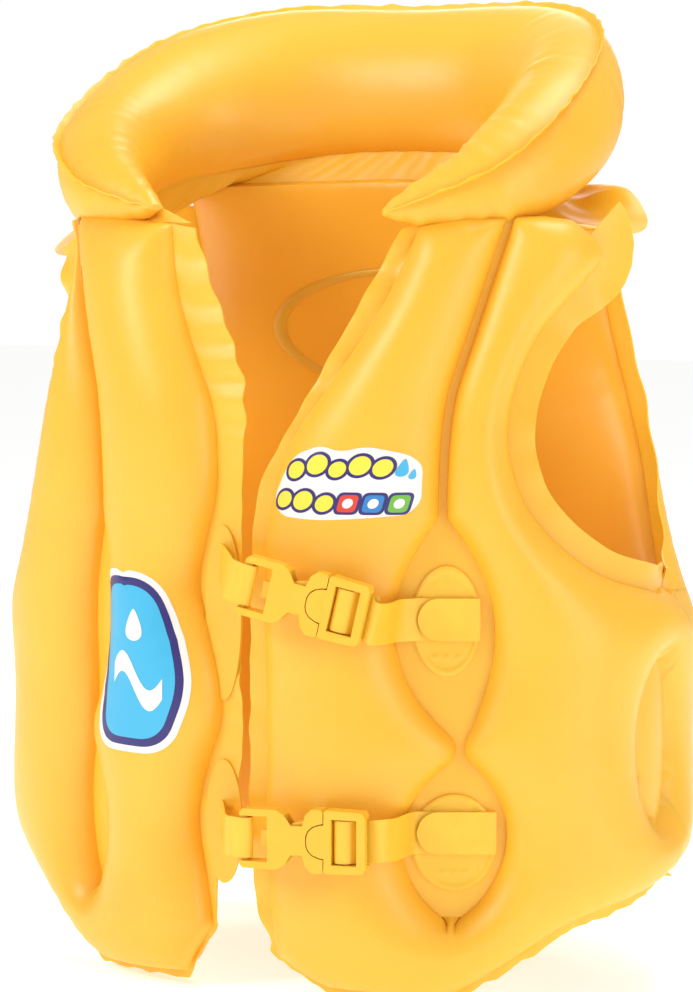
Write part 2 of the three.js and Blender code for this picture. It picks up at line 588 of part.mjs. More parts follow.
function socket() {
  const rim = buckleWidth / 2;
  const outline = bothSides([...[...mouthEdge].reverse(), [0, rim - 1], [-1, rim], [-5.5, rim], [-8.5, rim - 2.8],
    [-10, 6.9], [-15.5, 6.9], [-19, rim - 3.2], [-22.5, rim - 1], [-39, rim - 1], [-socketLength, rim - 2.5]]);
  const nub = new THREE.BoxGeometry(4, 8, 3).translate(-28.6, 0, 0);
  const body = plate(outline, [rectangle(-37.5, -27, -10.7, 10.7)], -half, half);
  const barCut = [new THREE.BoxGeometry(5, 21.4, 5.4).translate(-39.5, 0, half), new THREE.BoxGeometry(5, 21.4, 5.4)
    .translate(-39.5, 0, -half)];
  const cavity = new THREE.BoxGeometry(20.5, 2 * (mouthHalf + buckleFit), armThick + 2 * buckleRoom)
    .translate(-8.75, 0, 0);
  return joined(cut(body, cavity, ...barCut), nub);
}

function clip() {
  const rim = buckleWidth / 2;
  const tongue = plate(bothSides([...tongueEdge].reverse()), [], -half, half);
  const frame = plate(bothSides([[clipLength + 0.4, rim - 3], [clipLength - 1, rim - 0.6], [1.5, rim], [0.4, rim - 1]]),
    [rectangle(4, 16.3, -10.7, 10.7)], -half, half);
  const middleBar = new THREE.BoxGeometry(4.8, 22, 2.4).translate(9, 0, 0);
  const underOuterBar = new THREE.BoxGeometry(6, 21.4, half).translate(18.5, 0, -half / 2 - 0.1);
  const guide = new THREE.BoxGeometry(10, 3, armThick).translate(-11.5, 0, 0);
  return joined(cut(frame, underOuterBar), tongue, middleBar, guide);
}

function arm(side) {
  const outer = (u) => mouthHalf + armTaper * u;
  const outline = [[-0.3, outer(0)], [-armLength + 1.5, outer(-armLength + 1.5)], [-armLength, outer(-armLength) - 1],
    [-armLength, outer(-armLength) - 2.4], [-0.3, outer(0) - 2.4]];
  return plate(outline.map(([u, v]) => [u, side * v]), [], -armThick / 2, armThick / 2);
}

[['upper', upperBuckle], ['lower', lowerBuckle]].forEach(([name, buckle]) => {
  const { matrix } = buckleFrame(buckle);
  addMesh(`${name}_buckle_socket`, socket().applyMatrix4(matrix), strapYellow);
  addMesh(`${name}_buckle_clip`, clip().applyMatrix4(matrix), strapYellow);
  addMesh(`${name}_clip_arm_top`, arm(1).applyMatrix4(matrix), strapYellow);
  addMesh(`${name}_clip_arm_bottom`, arm(-1).applyMatrix4(matrix), strapYellow);
});

// The origin is under the middle of the whole vest, on the surface that it stands on.
const extent = new THREE.Box3().setFromObject(vest);
const middle = extent.getCenter(new THREE.Vector3()).setZ(extent.min.z);
vest.children.forEach((mesh) => mesh.geometry.translate(-middle.x, -middle.y, -middle.z));

export default vest;
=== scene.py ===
import json
import math

import bpy
import numpy as np
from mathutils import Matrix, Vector
from mathutils.bvhtree import BVHTree
from mathutils.geometry import delaunay_2d_cdt


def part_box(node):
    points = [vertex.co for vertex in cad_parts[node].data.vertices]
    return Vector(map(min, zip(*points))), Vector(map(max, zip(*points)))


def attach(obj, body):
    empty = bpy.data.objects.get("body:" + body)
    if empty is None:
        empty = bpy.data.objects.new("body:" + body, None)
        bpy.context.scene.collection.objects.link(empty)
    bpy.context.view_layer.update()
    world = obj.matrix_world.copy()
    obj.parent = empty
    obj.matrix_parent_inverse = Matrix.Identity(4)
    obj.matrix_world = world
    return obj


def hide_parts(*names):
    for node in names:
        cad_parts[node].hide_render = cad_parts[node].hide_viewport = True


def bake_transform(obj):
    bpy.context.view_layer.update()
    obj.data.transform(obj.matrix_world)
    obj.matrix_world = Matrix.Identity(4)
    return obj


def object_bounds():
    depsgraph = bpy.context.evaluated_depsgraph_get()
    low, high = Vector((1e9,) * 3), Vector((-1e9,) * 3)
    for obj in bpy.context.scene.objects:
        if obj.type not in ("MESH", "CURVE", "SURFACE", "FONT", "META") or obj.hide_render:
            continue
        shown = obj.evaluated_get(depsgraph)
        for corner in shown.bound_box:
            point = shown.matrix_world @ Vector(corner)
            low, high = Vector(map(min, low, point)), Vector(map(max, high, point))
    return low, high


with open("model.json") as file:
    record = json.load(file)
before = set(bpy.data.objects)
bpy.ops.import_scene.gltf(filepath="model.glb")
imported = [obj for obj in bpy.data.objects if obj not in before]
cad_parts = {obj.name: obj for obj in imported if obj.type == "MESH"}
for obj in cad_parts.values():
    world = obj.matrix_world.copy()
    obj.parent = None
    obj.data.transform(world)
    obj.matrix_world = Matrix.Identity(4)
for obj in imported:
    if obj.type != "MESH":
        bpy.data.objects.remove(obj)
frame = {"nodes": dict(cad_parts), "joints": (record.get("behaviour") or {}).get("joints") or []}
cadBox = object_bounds()
joints = {joint["name"]: joint for joint in frame["joints"]}
print("frame loaded:", len(frame["nodes"]), "nodes")

# Lengths in the shape code are millimetres and are turned to metres when a mesh is made.
# Girth angles are degrees round the torso: 0 at the front, 90 at the wearer's left, 180 at the spine.
torso = {"halfWidth": 150, "halfDepth": 97, "sideBulge": 15, "leanFrom": 285, "topHeight": 382,
         "frontLean": 0.12, "backLean": 0.34, "spineDepth": 140, "lowest": 15}
hingeDepth = joints["front_opening"]["pos_m"][1] * 1000
shift = np.array([0, hingeDepth - torso["spineDepth"],
                  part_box("front_left_chamber")[0].z * 1000 - torso["lowest"]])


# Camera, light and floor
view = {"azimuth": 27, "elevation": 5, "distance": 1.7, "target": (0, 0, 0.227), "lens": 123.4}
studio = {"ground": "#FBFBFA", "world": "#FFFFFF", "ambient": 0.5}


def linear(code):
    channels = [int(code[k:k + 2], 16) / 255 for k in (1, 3, 5)]
    return [c / 12.92 if c <= 0.04045 else ((c + 0.055) / 1.055) ** 2.4 for c in channels] + [1]


def addNode(tree, kind, settings=None, links=None):
    node = tree.nodes.new(kind)
    for key, value in (settings or {}).items():
        if key in node.inputs:
            node.inputs[key].default_value = value
        else:
            setattr(node, key, value)
    for key, source in (links or {}).items():
        tree.links.new(source, node.inputs[key])
    return node


def addCamera():
    turn, rise = math.radians(view["azimuth"]), math.radians(view["elevation"])
    away = Vector((math.sin(turn) * math.cos(rise), -math.cos(turn) * math.cos(rise), math.sin(rise)))
    camera = bpy.data.objects.new("camera", bpy.data.cameras.new("camera"))
    camera.location = Vector(view["target"]) + away * view["distance"]
    camera.rotation_euler = (-away).to_track_quat("-Z", "Y").to_euler()
    camera.data.lens = view["lens"]
    bpy.context.collection.objects.link(camera)
    bpy.context.scene.camera = camera


def addLamp(name, place, size, power, colour="#FFFFFF"):
    lamp = bpy.data.objects.new(name, bpy.data.lights.new(name, "AREA"))
    lamp.data.shape = "RECTANGLE"
    lamp.data.size, lamp.data.size_y = size
    lamp.data.energy = power
    lamp.data.color = linear(colour)[:3]
    lamp.location = place
    lamp.rotation_euler = (Vector((0, 0, 0.25)) - Vector(place)).to_track_quat("-Z", "Y").to_euler()
    bpy.context.collection.objects.link(lamp)


def addStudio():
    addLamp("key", (-0.9, -1.3, 1.15), (0.6, 0.8), 14)
    addLamp("fill", (1.7, -0.7, 0.6), (0.6, 1.1), 8)
    addLamp("overhead", (0.25, 0.2, 1.6), (0.8, 0.6), 10)
    addLamp("rim", (-0.6, 1.5, 0.9), (0.8, 0.8), 7)
    scene = bpy.context.scene
    scene.world = bpy.data.worlds.new("studio")
    scene.world.use_nodes = True
    tree = scene.world.node_tree
    tree.nodes["Background"].inputs["Color"].default_value = linear(studio["world"])
    tree.nodes["Background"].inputs["Strength"].default_value = studio["ambient"]
    backdrop = addNode(tree, "ShaderNodeBackground", {"Color": linear(studio["world"]), "Strength": 1.0})
    path = addNode(tree, "ShaderNodeLightPath")
    both = addNode(tree, "ShaderNodeMixShader", {}, {"Fac": path.outputs["Is Camera Ray"]})
    tree.links.new(tree.nodes["Background"].outputs[0], both.inputs[1])
    tree.links.new(backdrop.outputs[0], both.inputs[2])
    tree.links.new(both.outputs[0], tree.nodes["World Output"].inputs["Surface"])
    floorHeight = cadBox[0].z - 0.006
    mesh = bpy.data.meshes.new("floor")
    corners = [(x, y, floorHeight) for x, y in ((-6, -6), (6, -6), (6, 6), (-6, 6))]
    mesh.from_pydata(corners, [], [(0, 1, 2, 3)])
    ground = bpy.data.objects.new("floor", mesh)
    bpy.context.collection.objects.link(ground)
    material = bpy.data.materials.new("paintedFloor")
    material.use_nodes = True
    shader = material.node_tree.nodes["Principled BSDF"]
    shader.inputs["Base Color"].default_value = linear(studio["ground"])
    shader.inputs["Roughness"].default_value = 0.9
    shader.inputs["Emission Color"].default_value = linear(studio["ground"])
    shader.inputs["Emission Strength"].default_value = 0.5
    mesh.materials.append(material)


addCamera()
addStudio()
bpy.context.scene.view_settings.view_transform = "Standard"
print("camera and studio placed")


# Materials
def startMaterial(name):
    material = bpy.data.materials.new(name)
    material.use_nodes = True
    tree = material.node_tree
    place = addNode(tree, "ShaderNodeTexCoord").outputs["Object"]
    return material, tree, tree.nodes["Principled BSDF"], place


def vinylFilm():
    # Calendered soft PVC film, 0.25 mm thick: satin from the rollers, a little light goes through it.
    material, tree, shader, place = startMaterial("calenderedVinylFilm")
    cloud = addNode(tree, "ShaderNodeTexNoise", {"Scale": 1000 / 45, "Detail": 2.0, "Roughness": 0.5},
                    {"Vector": place})  # soft dye variation, patches about 45 mm across
    tint = addNode(tree, "ShaderNodeMix", {"data_type": "RGBA", "blend_type": "MIX"})
    tree.links.new(cloud.outputs["Fac"], tint.inputs["Factor"])
    tint.inputs[6].default_value = linear("#F5B42C")
    tint.inputs[7].default_value = linear("#F8BF3A")
    tree.links.new(tint.outputs[2], shader.inputs["Base Color"])
    haze = addNode(tree, "ShaderNodeTexNoise", {"Scale": 1000 / 18, "Detail": 3.0}, {"Vector": place})
    rough = addNode(tree, "ShaderNodeMapRange", {"To Min": 0.36, "To Max": 0.44},
                    {"Value": haze.outputs["Fac"]})
    tree.links.new(rough.outputs["Result"], shader.inputs["Roughness"])
    slack = addNode(tree, "ShaderNodeTexNoise", {"Scale": 1000 / 26, "Detail": 2.0}, {"Vector": place})
    grain = addNode(tree, "ShaderNodeTexNoise", {"Scale": 1000 / 1.1, "Detail": 2.0}, {"Vector": place})
    tightness = addNode(tree, "ShaderNodeBump", {"Strength": 0.35, "Distance": 0.0011},
                        {"Height": slack.outputs["Fac"]})  # slackness that the air doesn't quite pull out
    skin = addNode(tree, "ShaderNodeBump", {"Strength": 0.25, "Distance": 0.00004},
                   {"Height": grain.outputs["Fac"], "Normal": tightness.outputs["Normal"]})  # roller grain
    tree.links.new(skin.outputs["Normal"], shader.inputs["Normal"])
    shader.inputs["IOR"].default_value = 1.53
    shader.inputs["Subsurface Weight"].default_value = 0.28
    shader.inputs["Subsurface Radius"].default_value = (1.0, 0.45, 0.08)
    shader.inputs["Subsurface Scale"].default_value = 0.010
    return material


def strapVinyl():
    # Heavier calendered PVC sheet for straps and patches, matt from a fine embossing roller.
    material, tree, shader, place = startMaterial("embossedVinylSheet")
    cloud = addNode(tree, "ShaderNodeTexNoise", {"Scale": 1000 / 12, "Detail": 2.0}, {"Vector": place})
    tint = addNode(tree, "ShaderNodeMix", {"data_type": "RGBA"})
    tree.links.new(cloud.outputs["Fac"], tint.inputs["Factor"])
    tint.inputs[6].default_value = linear("#F0B92E")
    tint.inputs[7].default_value = linear("#F4C63A")
    tree.links.new(tint.outputs[2], shader.inputs["Base Color"])
    emboss = addNode(tree, "ShaderNodeTexNoise", {"Scale": 1000 / 0.8, "Detail": 1.0}, {"Vector": place})
    skin = addNode(tree, "ShaderNodeBump", {"Strength": 0.3, "Distance": 0.00005},
                   {"Height": emboss.outputs["Fac"]})
    tree.links.new(skin.outputs["Normal"], shader.inputs["Normal"])
    rough = addNode(tree, "ShaderNodeMapRange", {"To Min": 0.42, "To Max": 0.52},
                    {"Value": cloud.outputs["Fac"]})
    tree.links.new(rough.outputs["Result"], shader.inputs["Roughness"])
    shader.inputs["IOR"].default_value = 1.53
    shader.inputs["Subsurface Weight"].default_value = 0.12
    shader.inputs["Subsurface Radius"].default_value = (1.0, 0.5, 0.1)
    shader.inputs["Subsurface Scale"].default_value = 0.003
    return material


def mouldedAcetal():
    # Injection-moulded acetal buckles: spark-eroded mould faces give a fine satin.
    material, tree, shader, place = startMaterial("mouldedAcetal")
    flow = addNode(tree, "ShaderNodeTexNoise", {"Scale": 1000 / 14, "Detail": 3.0}, {"Vector": place})
    tint = addNode(tree, "ShaderNodeMix", {"data_type": "RGBA"})
    tree.links.new(flow.outputs["Fac"], tint.inputs["Factor"])
    tint.inputs[6].default_value = linear("#EFB52A")
    tint.inputs[7].default_value = linear("#F3BF36")
    tree.links.new(tint.outputs[2], shader.inputs["Base Color"])
    grit = addNode(tree, "ShaderNodeTexNoise", {"Scale": 1000 / 0.5, "Detail": 2.0}, {"Vector": place})
    skin = addNode(tree, "ShaderNodeBump", {"Strength": 0.3, "Distance": 0.00005},
                   {"Height": grit.outputs["Fac"]})
    tree.links.new(skin.outputs["Normal"], shader.inputs["Normal"])
    rough = addNode(tree, "ShaderNodeMapRange", {"To Min": 0.32, "To Max": 0.42},
                    {"Value": flow.outputs["Fac"]})
    tree.links.new(rough.outputs["Result"], shader.inputs["Roughness"])
    shader.inputs["IOR"].default_value = 1.48
    shader.inputs["Subsurface Weight"].default_value = 0.1
    shader.inputs["Subsurface Radius"].default_value = (1.0, 0.5, 0.1)
    shader.inputs["Subsurface Scale"].default_value = 0.002
    return material


def softValveVinyl():
    # Soft moulded PVC valves: paler and more see-through than the film round them.
    material, tree, shader, place = startMaterial("mouldedSoftVinyl")
    cloud = addNode(tree, "ShaderNodeTexNoise", {"Scale": 1000 / 5, "Detail": 2.0}, {"Vector": place})
    rough = addNode(tree, "ShaderNodeMapRange", {"To Min": 0.24, "To Max": 0.34},
                    {"Value": cloud.outputs["Fac"]})
    tree.links.new(rough.outputs["Result"], shader.inputs["Roughness"])
    shader.inputs["Base Color"].default_value = linear("#F4D487")
    shader.inputs["IOR"].default_value = 1.53
    shader.inputs["Transmission Weight"].default_value = 0.15
    shader.inputs["Subsurface Weight"].default_value = 0.3
    shader.inputs["Subsurface Radius"].default_value = (1.0, 0.7, 0.3)
    shader.inputs["Subsurface Scale"].default_value = 0.004
    return material


def screenInk(name, code):
    # Screen-printed vinyl ink: a thin even layer, a little glossier than the film.
    material, tree, shader, place = startMaterial(name)
    mesh = addNode(tree, "ShaderNodeTexNoise", {"Scale": 1000 / 1.5, "Detail": 1.0}, {"Vector": place})
    rough = addNode(tree, "ShaderNodeMapRange", {"To Min": 0.3, "To Max": 0.4},
                    {"Value": mesh.outputs["Fac"]})
    tree.links.new(rough.outputs["Result"], shader.inputs["Roughness"])
    shader.inputs["Base Color"].default_value = linear(code)
    shader.inputs["IOR"].default_value = 1.5
    return material


filmMaterial = vinylFilm()
strapMaterial = strapVinyl()
acetal = mouldedAcetal()
valveMaterial = softValveVinyl()
print("materials made")


# Curves and meshes
def smoothStep(low, high, x):
    t = np.clip((x - low) / (high - low), 0, 1)
    return t * t * (3 - 2 * t)


def smoothLine(points):
    p = np.array(points, float)
    ends = np.vstack([p[:1], p, p[-1:]])
    t = np.linspace(0, 1, 24, endpoint=False)[:, None]
    pieces = [0.5 * (2 * b + (c - a) * t + (2 * a - 5 * b + 4 * c - d) * t ** 2
                     + (3 * b - a - 3 * c + d) * t ** 3)
              for a, b, c, d in zip(ends, ends[1:], ends[2:], ends[3:])]
    return np.vstack([*pieces, p[-1:]])


def alongLine(line, fractions):
    run = np.concatenate([[0], np.cumsum(np.linalg.norm(np.diff(line, axis=0), axis=1))])
    want = np.asarray(fractions) * run[-1]
    return np.column_stack([np.interp(want, run, line[:, k]) for k in range(line.shape[1])])


def evenly(count):
    return np.linspace(0, 1, count + 1)


girthScale = 2.3                # mm per degree, so that even steps are even on the film


def girthLine(points, fractions):
    scaled = np.array(points, float) * (girthScale, 1)
    return alongLine(smoothLine(scaled), fractions) / (girthScale, 1)


def onTorso(angle, height, out=0.0):
    s, c = np.sin(np.radians(angle)), np.cos(np.radians(angle))
    wide, deep, bulge = torso["halfWidth"], torso["halfDepth"], torso["sideBulge"]
    rise = np.maximum(0, height - torso["leanFrom"]) / (torso["topHeight"] - torso["leanFrom"])
    lean = 1 - np.where(c > 0, torso["frontLean"], torso["backLean"]) * rise ** 2
    nx, ny = deep * s, -(wide + 3 * bulge * s * s) * c
    size = np.hypot(nx, ny)
    x = (wide + bulge * s * s) * s + out * nx / size
    y = -deep * lean * c + out * ny / size
    return np.stack(np.broadcast_arrays(x, y, height), axis=-1)


# girth length in mm against the angle, for every quarter degree
girthTable = np.linspace(-270, 270, 2161)
girthSine, girthCosine = np.sin(np.radians(girthTable)), np.cos(np.radians(girthTable))
girthStep = np.radians(0.25) * np.hypot(
    (torso["halfWidth"] + 3 * torso["sideBulge"] * girthSine ** 2) * girthCosine,
    torso["halfDepth"] * girthSine)
girthRun = np.cumsum(girthStep)
girthRun -= np.interp(0, girthTable, girthRun)


def toGirth(angle):
    return np.interp(angle, girthTable, girthRun)


def fromGirth(run):
    return np.interp(run, girthRun, girthTable)


def flat(points):
    return np.column_stack([toGirth(points[:, 0]), points[:, 1]])


halfGirth = float(toGirth(180))


def sideways(line, distance):
    run = np.gradient(flat(line), axis=0)
    run /= np.linalg.norm(run, axis=1)[:, None]
    moved = flat(line) + np.column_stack([-run[:, 1], run[:, 0]]) * np.reshape(distance, (-1, 1))
    return np.column_stack([fromGirth(moved[:, 0]), moved[:, 1]])


def makePiece(name, points, faces, material, slot, smoothAngle=50):
    mesh = bpy.data.meshes.new(name)
    mesh.from_pydata([tuple(p) for p in (np.asarray(points) + shift) / 1000], [], faces)
    mesh.update()
    mesh.validate()
    mesh.polygons.foreach_set("use_smooth", [True] * len(mesh.polygons))
    mesh.set_sharp_from_angle(angle=math.radians(smoothAngle))
    mesh.materials.append(material)
    piece = bpy.data.objects.new(name, mesh)
    bpy.context.collection.objects.link(piece)
    return piece


def facingOut(points, faces):
    p = np.asarray(points)
    volume = 0
    for face in faces:
        for k in range(1, len(face) - 1):
            volume += np.dot(p[face[0]], np.cross(p[face[k]], p[face[k + 1]]))
    return faces if volume > 0 else [face[::-1] for face in faces]


def closedSheet(outer, inner):
    # two matching grids of points, [column, row], and a rim between them
    columns, rows = outer.shape[:2]
    at = np.arange(2 * columns * rows).reshape(2, columns, rows)
    faces = []
    for i in range(columns - 1):
        for j in range(rows - 1):
            a, b, c, d = at[0, i, j], at[0, i + 1, j], at[0, i + 1, j + 1], at[0, i, j + 1]
            faces.append((a, b, c, d))
            a, b, c, d = at[1, i, j], at[1, i + 1, j], at[1, i + 1, j + 1], at[1, i, j + 1]
            faces.append((a, d, c, b))
        faces.append((at[1, i, 0], at[1, i + 1, 0], at[0, i + 1, 0], at[0, i, 0]))
        faces.append((at[0, i, -1], at[0, i + 1, -1], at[1, i + 1, -1], at[1, i, -1]))
    for j in range(rows - 1):
        faces.append((at[0, 0, j], at[0, 0, j + 1], at[1, 0, j + 1], at[1, 0, j]))
        faces.append((at[1, -1, j], at[1, -1, j + 1], at[0, -1, j + 1], at[0, -1, j]))
    points = np.concatenate([outer.reshape(-1, 3), inner.reshape(-1, 3)])
    faces = [tuple(int(v) for v in face) for face in faces]
    return points, facingOut(points, faces)


def gridNormals(grid):
    normals = np.cross(np.gradient(grid, axis=0), np.gradient(grid, axis=1))
    return normals / np.maximum(np.linalg.norm(normals, axis=-1, keepdims=True), 1e-9)


def thinSheet(grid, thick):
    lift = gridNormals(grid) * thick / 2
    return closedSheet(grid + lift, grid - lift)


def ripple(seed, shortest, longest, count=9):
    # a smooth random wave along a length, about -1 to 1
    rng = np.random.default_rng(seed)
    lengths = np.exp(rng.uniform(math.log(shortest), math.log(longest), count))
    phases = rng.uniform(0, 2 * math.pi, count)
    weights = rng.uniform(0.5, 1, count)
    scale = 1.6 / weights.sum()

    def wave(s):
        s = np.asarray(s, float)
        return scale * sum(w * np.sin(2 * math.pi * s / length + p)
                           for w, length, p in zip(weights, lengths, phases))
    return wave


# Where the body is welded: each point is [girth angle, height]
upperAlmond = {"height": 188, "halfHeight": 55, "halfAngle": 9.3, "blunt": 1}
lowerAlmond = {"height": 90, "halfHeight": 40, "halfAngle": 9.8, "blunt": 0.75}
sideSlot = {"angle": 89, "height": 131, "halfAngle": 11, "halfHeight": 42}
spineOval = {"height": 322, "halfHeight": 31, "halfAngle": 30}
weldHalfAngle = 0.75
almondShare = {"left": 1, "right": 0.4}
sideAngle = 97
bayWeld = [[37, 15], [37.5, 55], [38, 90], [39, 132], [36.8, 160], [36, 205], [35.7, 255], [37, 295],
           [41, 330], [47, 382]]
sideLine = [[97, 66], [97, 135], [97, 198]]
armholeFront = {
    "left": [[90, 202], [70, 212], [58, 229], [51, 249], [48, 273], [48.5, 296], [52, 320], [56.5, 336],
             [63, 351], [67, 362], [66, 370], [60, 380]],
    "right": [[90, 202], [74, 212], [66, 235], [60, 262], [55, 292], [50, 322], [47.5, 345], [47, 362],
              [48, 372], [50, 380]]}
armholeBack = [[103, 201], [110.5, 213], [116, 235], [121, 263], [127, 292], [132, 322], [134, 350],
               [135, 397]]
frontEdge = {
    "left": [[5, 31], [3.2, 75], [3, 155], [2.6, 215], [4, 245], [8, 277], [15.5, 305], [24, 340], [30, 378]],
    "right": [[9, 41], [10, 60], [12, 92], [10, 118], [7, 140], [7.2, 160], [9.3, 183], [11.7, 205],
              [10.3, 226], [8, 250], [8, 277], [9.5, 297], [13.5, 320], [18, 349], [20.5, 378]]}
hemEdge = {
    "left": [[3.2, 35], [0.2, 57], [-0.8, 95], [-0.8, 167], [-0.4, 215], [0.3, 244], [2.7, 263], [8.2, 287],
             [14, 313], [21, 347], [26.5, 376]],
    "right": [[8, 45], [8, 68], [5.5, 85], [3.2, 114], [2.4, 138], [3.2, 176], [2.6, 215], [2.4, 258],
              [1.9, 296], [4.5, 320], [10, 349], [15, 376]]}
firstBayMiddle = [[15, 16], [17, 75], [17, 195], [20, 255], [26, 315], [34, 353], [38, 382]]
secondBayMiddle = {
    "left": [[62, 49], [67, 125], [62, 195], [47, 240], [42.5, 275], [43, 315], [51, 358], [54, 382]],
    "right": [[62, 49], [67, 125], [62, 195], [51, 240], [47, 275], [44, 315], [44, 358], [47, 382]]}
backBottom = [[97, 66], [110, 61], [126, 46], [142, 38], [151, 37], [165, 42], [180, 44]]
backTop = [[135, 397], [150, 400], [165, 400], [180, 400]]
panelRows = {"count": 104, "fin": 4.5, "finRows": 3, "ruffle": 1.6, "hemWave": 2.2}
armholeFloor = 198.5            # the front and back chambers are one below this height
almondFloor = 50


def almondHalf(height, side):
    widths = [np.full_like(height, weldHalfAngle)]
    for almond in (upperAlmond, lowerAlmond):
        k = 1 - ((height - almond["height"]) / almond["halfHeight"]) ** 2
        power = np.where(height < almond["height"], almond["blunt"], 1)
        widest = almondShare[side] * almond["halfAngle"]
        widths.append(np.where(k > 0, widest * np.maximum(k, 1e-9) ** power, 0))
    return np.max(widths, axis=0)


def between(left, right, count):
    steps = (1 - np.cos(np.pi * np.arange(count) / count)) / 2
    return [left + (right - left) * t for t in steps]


def rowFractions():
    t = evenly(panelRows["count"])
    return 0.45 * t + 0.55 * (1 - np.cos(np.pi * t)) / 2


def frontLines(side):
    # the named lines of one front panel, each with the same rows from the bottom up
    rows = rowFractions()
    bay = girthLine(bayWeld, rows)
    half = almondHalf(bay[:, 1], side)
    armhole = girthLine(sideLine + armholeFront[side], rows)
    armhole[:, 0] = np.minimum(armhole[:, 0], sideAngle)
    return {"hem": girthLine(hemEdge[side], rows), "edge": girthLine(frontEdge[side], rows),
            "first": girthLine(firstBayMiddle, rows), "near": bay - np.column_stack([half, 0 * half]),
            "bay": bay, "far": bay + np.column_stack([half, 0 * half]),
            "second": girthLine(secondBayMiddle[side], rows), "side": armhole}


def slotRing():
    turn = np.linspace(0, 2 * math.pi, 49)
    return np.column_stack([sideSlot["angle"] + sideSlot["halfAngle"] * np.cos(turn),
                            sideSlot["height"] + sideSlot["halfHeight"] * np.sin(turn)])


def bodyWelds():
    # every weld of the body as [girth, height] lines, with how hard the film puckers along it
    welds = []
    for side, sign in (("left", 1), ("right", -1)):
        lines = frontLines(side)
        floor = [lines[key][0] for key in ("edge", "first", "near", "second", "side")]
        armhole = np.vstack([lines["side"][lines["side"][:, 1] > 199][::-1], [[sideAngle, 199.5]],
                             girthLine(armholeBack, evenly(60))])
        almonds = lines["near"][:, 1] > almondFloor - 1
        bottom = girthLine(floor, evenly(40))
        across = girthLine(backBottom, evenly(40))
        ceiling = [lines[key][-1] for key in ("edge", "first", "bay", "second", "side")]
        puckered = ((lines["edge"], 0.10), (lines["near"][almonds], 0.07), (lines["far"][almonds], 0.07),
                    (armhole, 0.12), (np.vstack([bottom, across[1:]]), 0.2), (np.array(ceiling), 0.16),
                    (girthLine(backTop, evenly(16)), 0.14), (slotRing(), 0.08))
        for line, pucker in puckered:
            line = flat(line)
            if line[-1, 0] > halfGirth - 1:     # carry it over the spine
                line = np.vstack([line, line[-2::-1] * (-1, 1) + (2 * halfGirth, 0)])
            welds.append((line * (sign, 1), pucker))
    return welds


def pullOf(points, line):
    # the pull of a weld on each point, its distance, and the place along the weld that is nearest
    a, b = line[:-1], line[1:]
    length = np.linalg.norm(b - a, axis=1)
    keep = length > 1e-6
    a, b, length = a[keep], b[keep], length[keep]
    run = (b - a) / length[:, None]
    rel = points[:, None, :] - a[None]
    along = (rel * run).sum(-1)
    off = np.maximum(np.abs(rel[..., 0] * run[:, 1] - rel[..., 1] * run[:, 0]), 0.02)
    pull = ((length - along) / np.hypot(off, length - along) + along / np.hypot(off, along)) / off ** 2
    nearest = np.clip(along, 0, length)
    away = np.hypot(off, along - nearest)
    pick = away.argmin(axis=1)
    rows = np.arange(len(points))
    start = np.concatenate([[0], np.cumsum(length)[:-1]])
    return pull.sum(axis=1), away[rows, pick], start[pick] + nearest[rows, pick]


film = {"half": 0.4, "outerPuff": 4.45, "innerPuff": 3.2, "outerMost": 62, "innerMost": 34, "puckerReach": 10}
welds = bodyWelds()
puckerWave = ripple(5, 9, 19, 12)
puckerGroups = ripple(6, 60, 150, 6)
softWave = [ripple(seed, 70, 180, 5) for seed in (21, 22)]


def filmHeight(angle, height):
    # how far the outer and the inner film stand off the middle surface
    points = np.column_stack([toGirth(np.ravel(angle)), np.ravel(height)])
    pull = np.zeros(len(points))
    nearest = np.full(len(points), 1e9)
    crumple = np.zeros(len(points))
    for number, (line, pucker) in enumerate(welds):
        one, away, run = pullOf(points, line)
        pull += one
        closer = away < nearest
        place = number % (len(welds) // 2)
        wave = puckerWave(run + 137 * place) * (0.6 + 0.6 * puckerGroups(run + 61 * place))
        crumple = np.where(closer, pucker * wave * np.exp(-away / film["puckerReach"]), crumple)
        nearest = np.minimum(nearest, away)
    room = np.sqrt(2 / np.maximum(pull, 1e-12))
    calm = smoothStep(0, 70, halfGirth - np.abs(points[:, 0]))
    loose = (1 + calm * 0.035 * softWave[0](points[:, 0] + 0.4 * points[:, 1])
             + 0.03 * softWave[1](points[:, 1]))
    outer, inner = [film[most] * np.tanh(film[puff] * np.sqrt(room) / film[most]) * (1 + crumple) * loose
                    for puff, most in (("outerPuff", "outerMost"), ("innerPuff", "innerMost"))]
    inside = np.zeros(len(points))
    for sign in (1, -1):
        a = (fromGirth(points[:, 0]) - sign * sideSlot["angle"]) / sideSlot["halfAngle"]
        k = np.hypot(a, (points[:, 1] - sideSlot["height"]) / sideSlot["halfHeight"])
        inside = np.maximum(inside, k < 1)
    island = np.where(inside > 0, 0.16, 1)
    shape = np.shape(angle)
    return (outer * island).reshape(shape), (inner * island).reshape(shape)


# Front panels: a chamber with its hem
def finRows(columns, wave):
    # loose film below the bottom weld
    extra = []
    for k in range(panelRows["finRows"], 0, -1):
        drop = panelRows["fin"] * k / panelRows["finRows"]
        row = columns[:, 0, :].copy()
        row[:, 1] -= drop * (0.8 + 0.2 * wave(toGirth(row[:, 0])))
        extra.append(row)
    return np.concatenate([np.stack(extra, axis=1), columns], axis=1)


def finLift(height):
    # how far the loose film below the bottom weld can stray
    lift = np.zeros_like(height)
    lift[:, :panelRows["finRows"]] = np.linspace(1, 0.33, panelRows["finRows"]) * panelRows["ruffle"]
    return lift


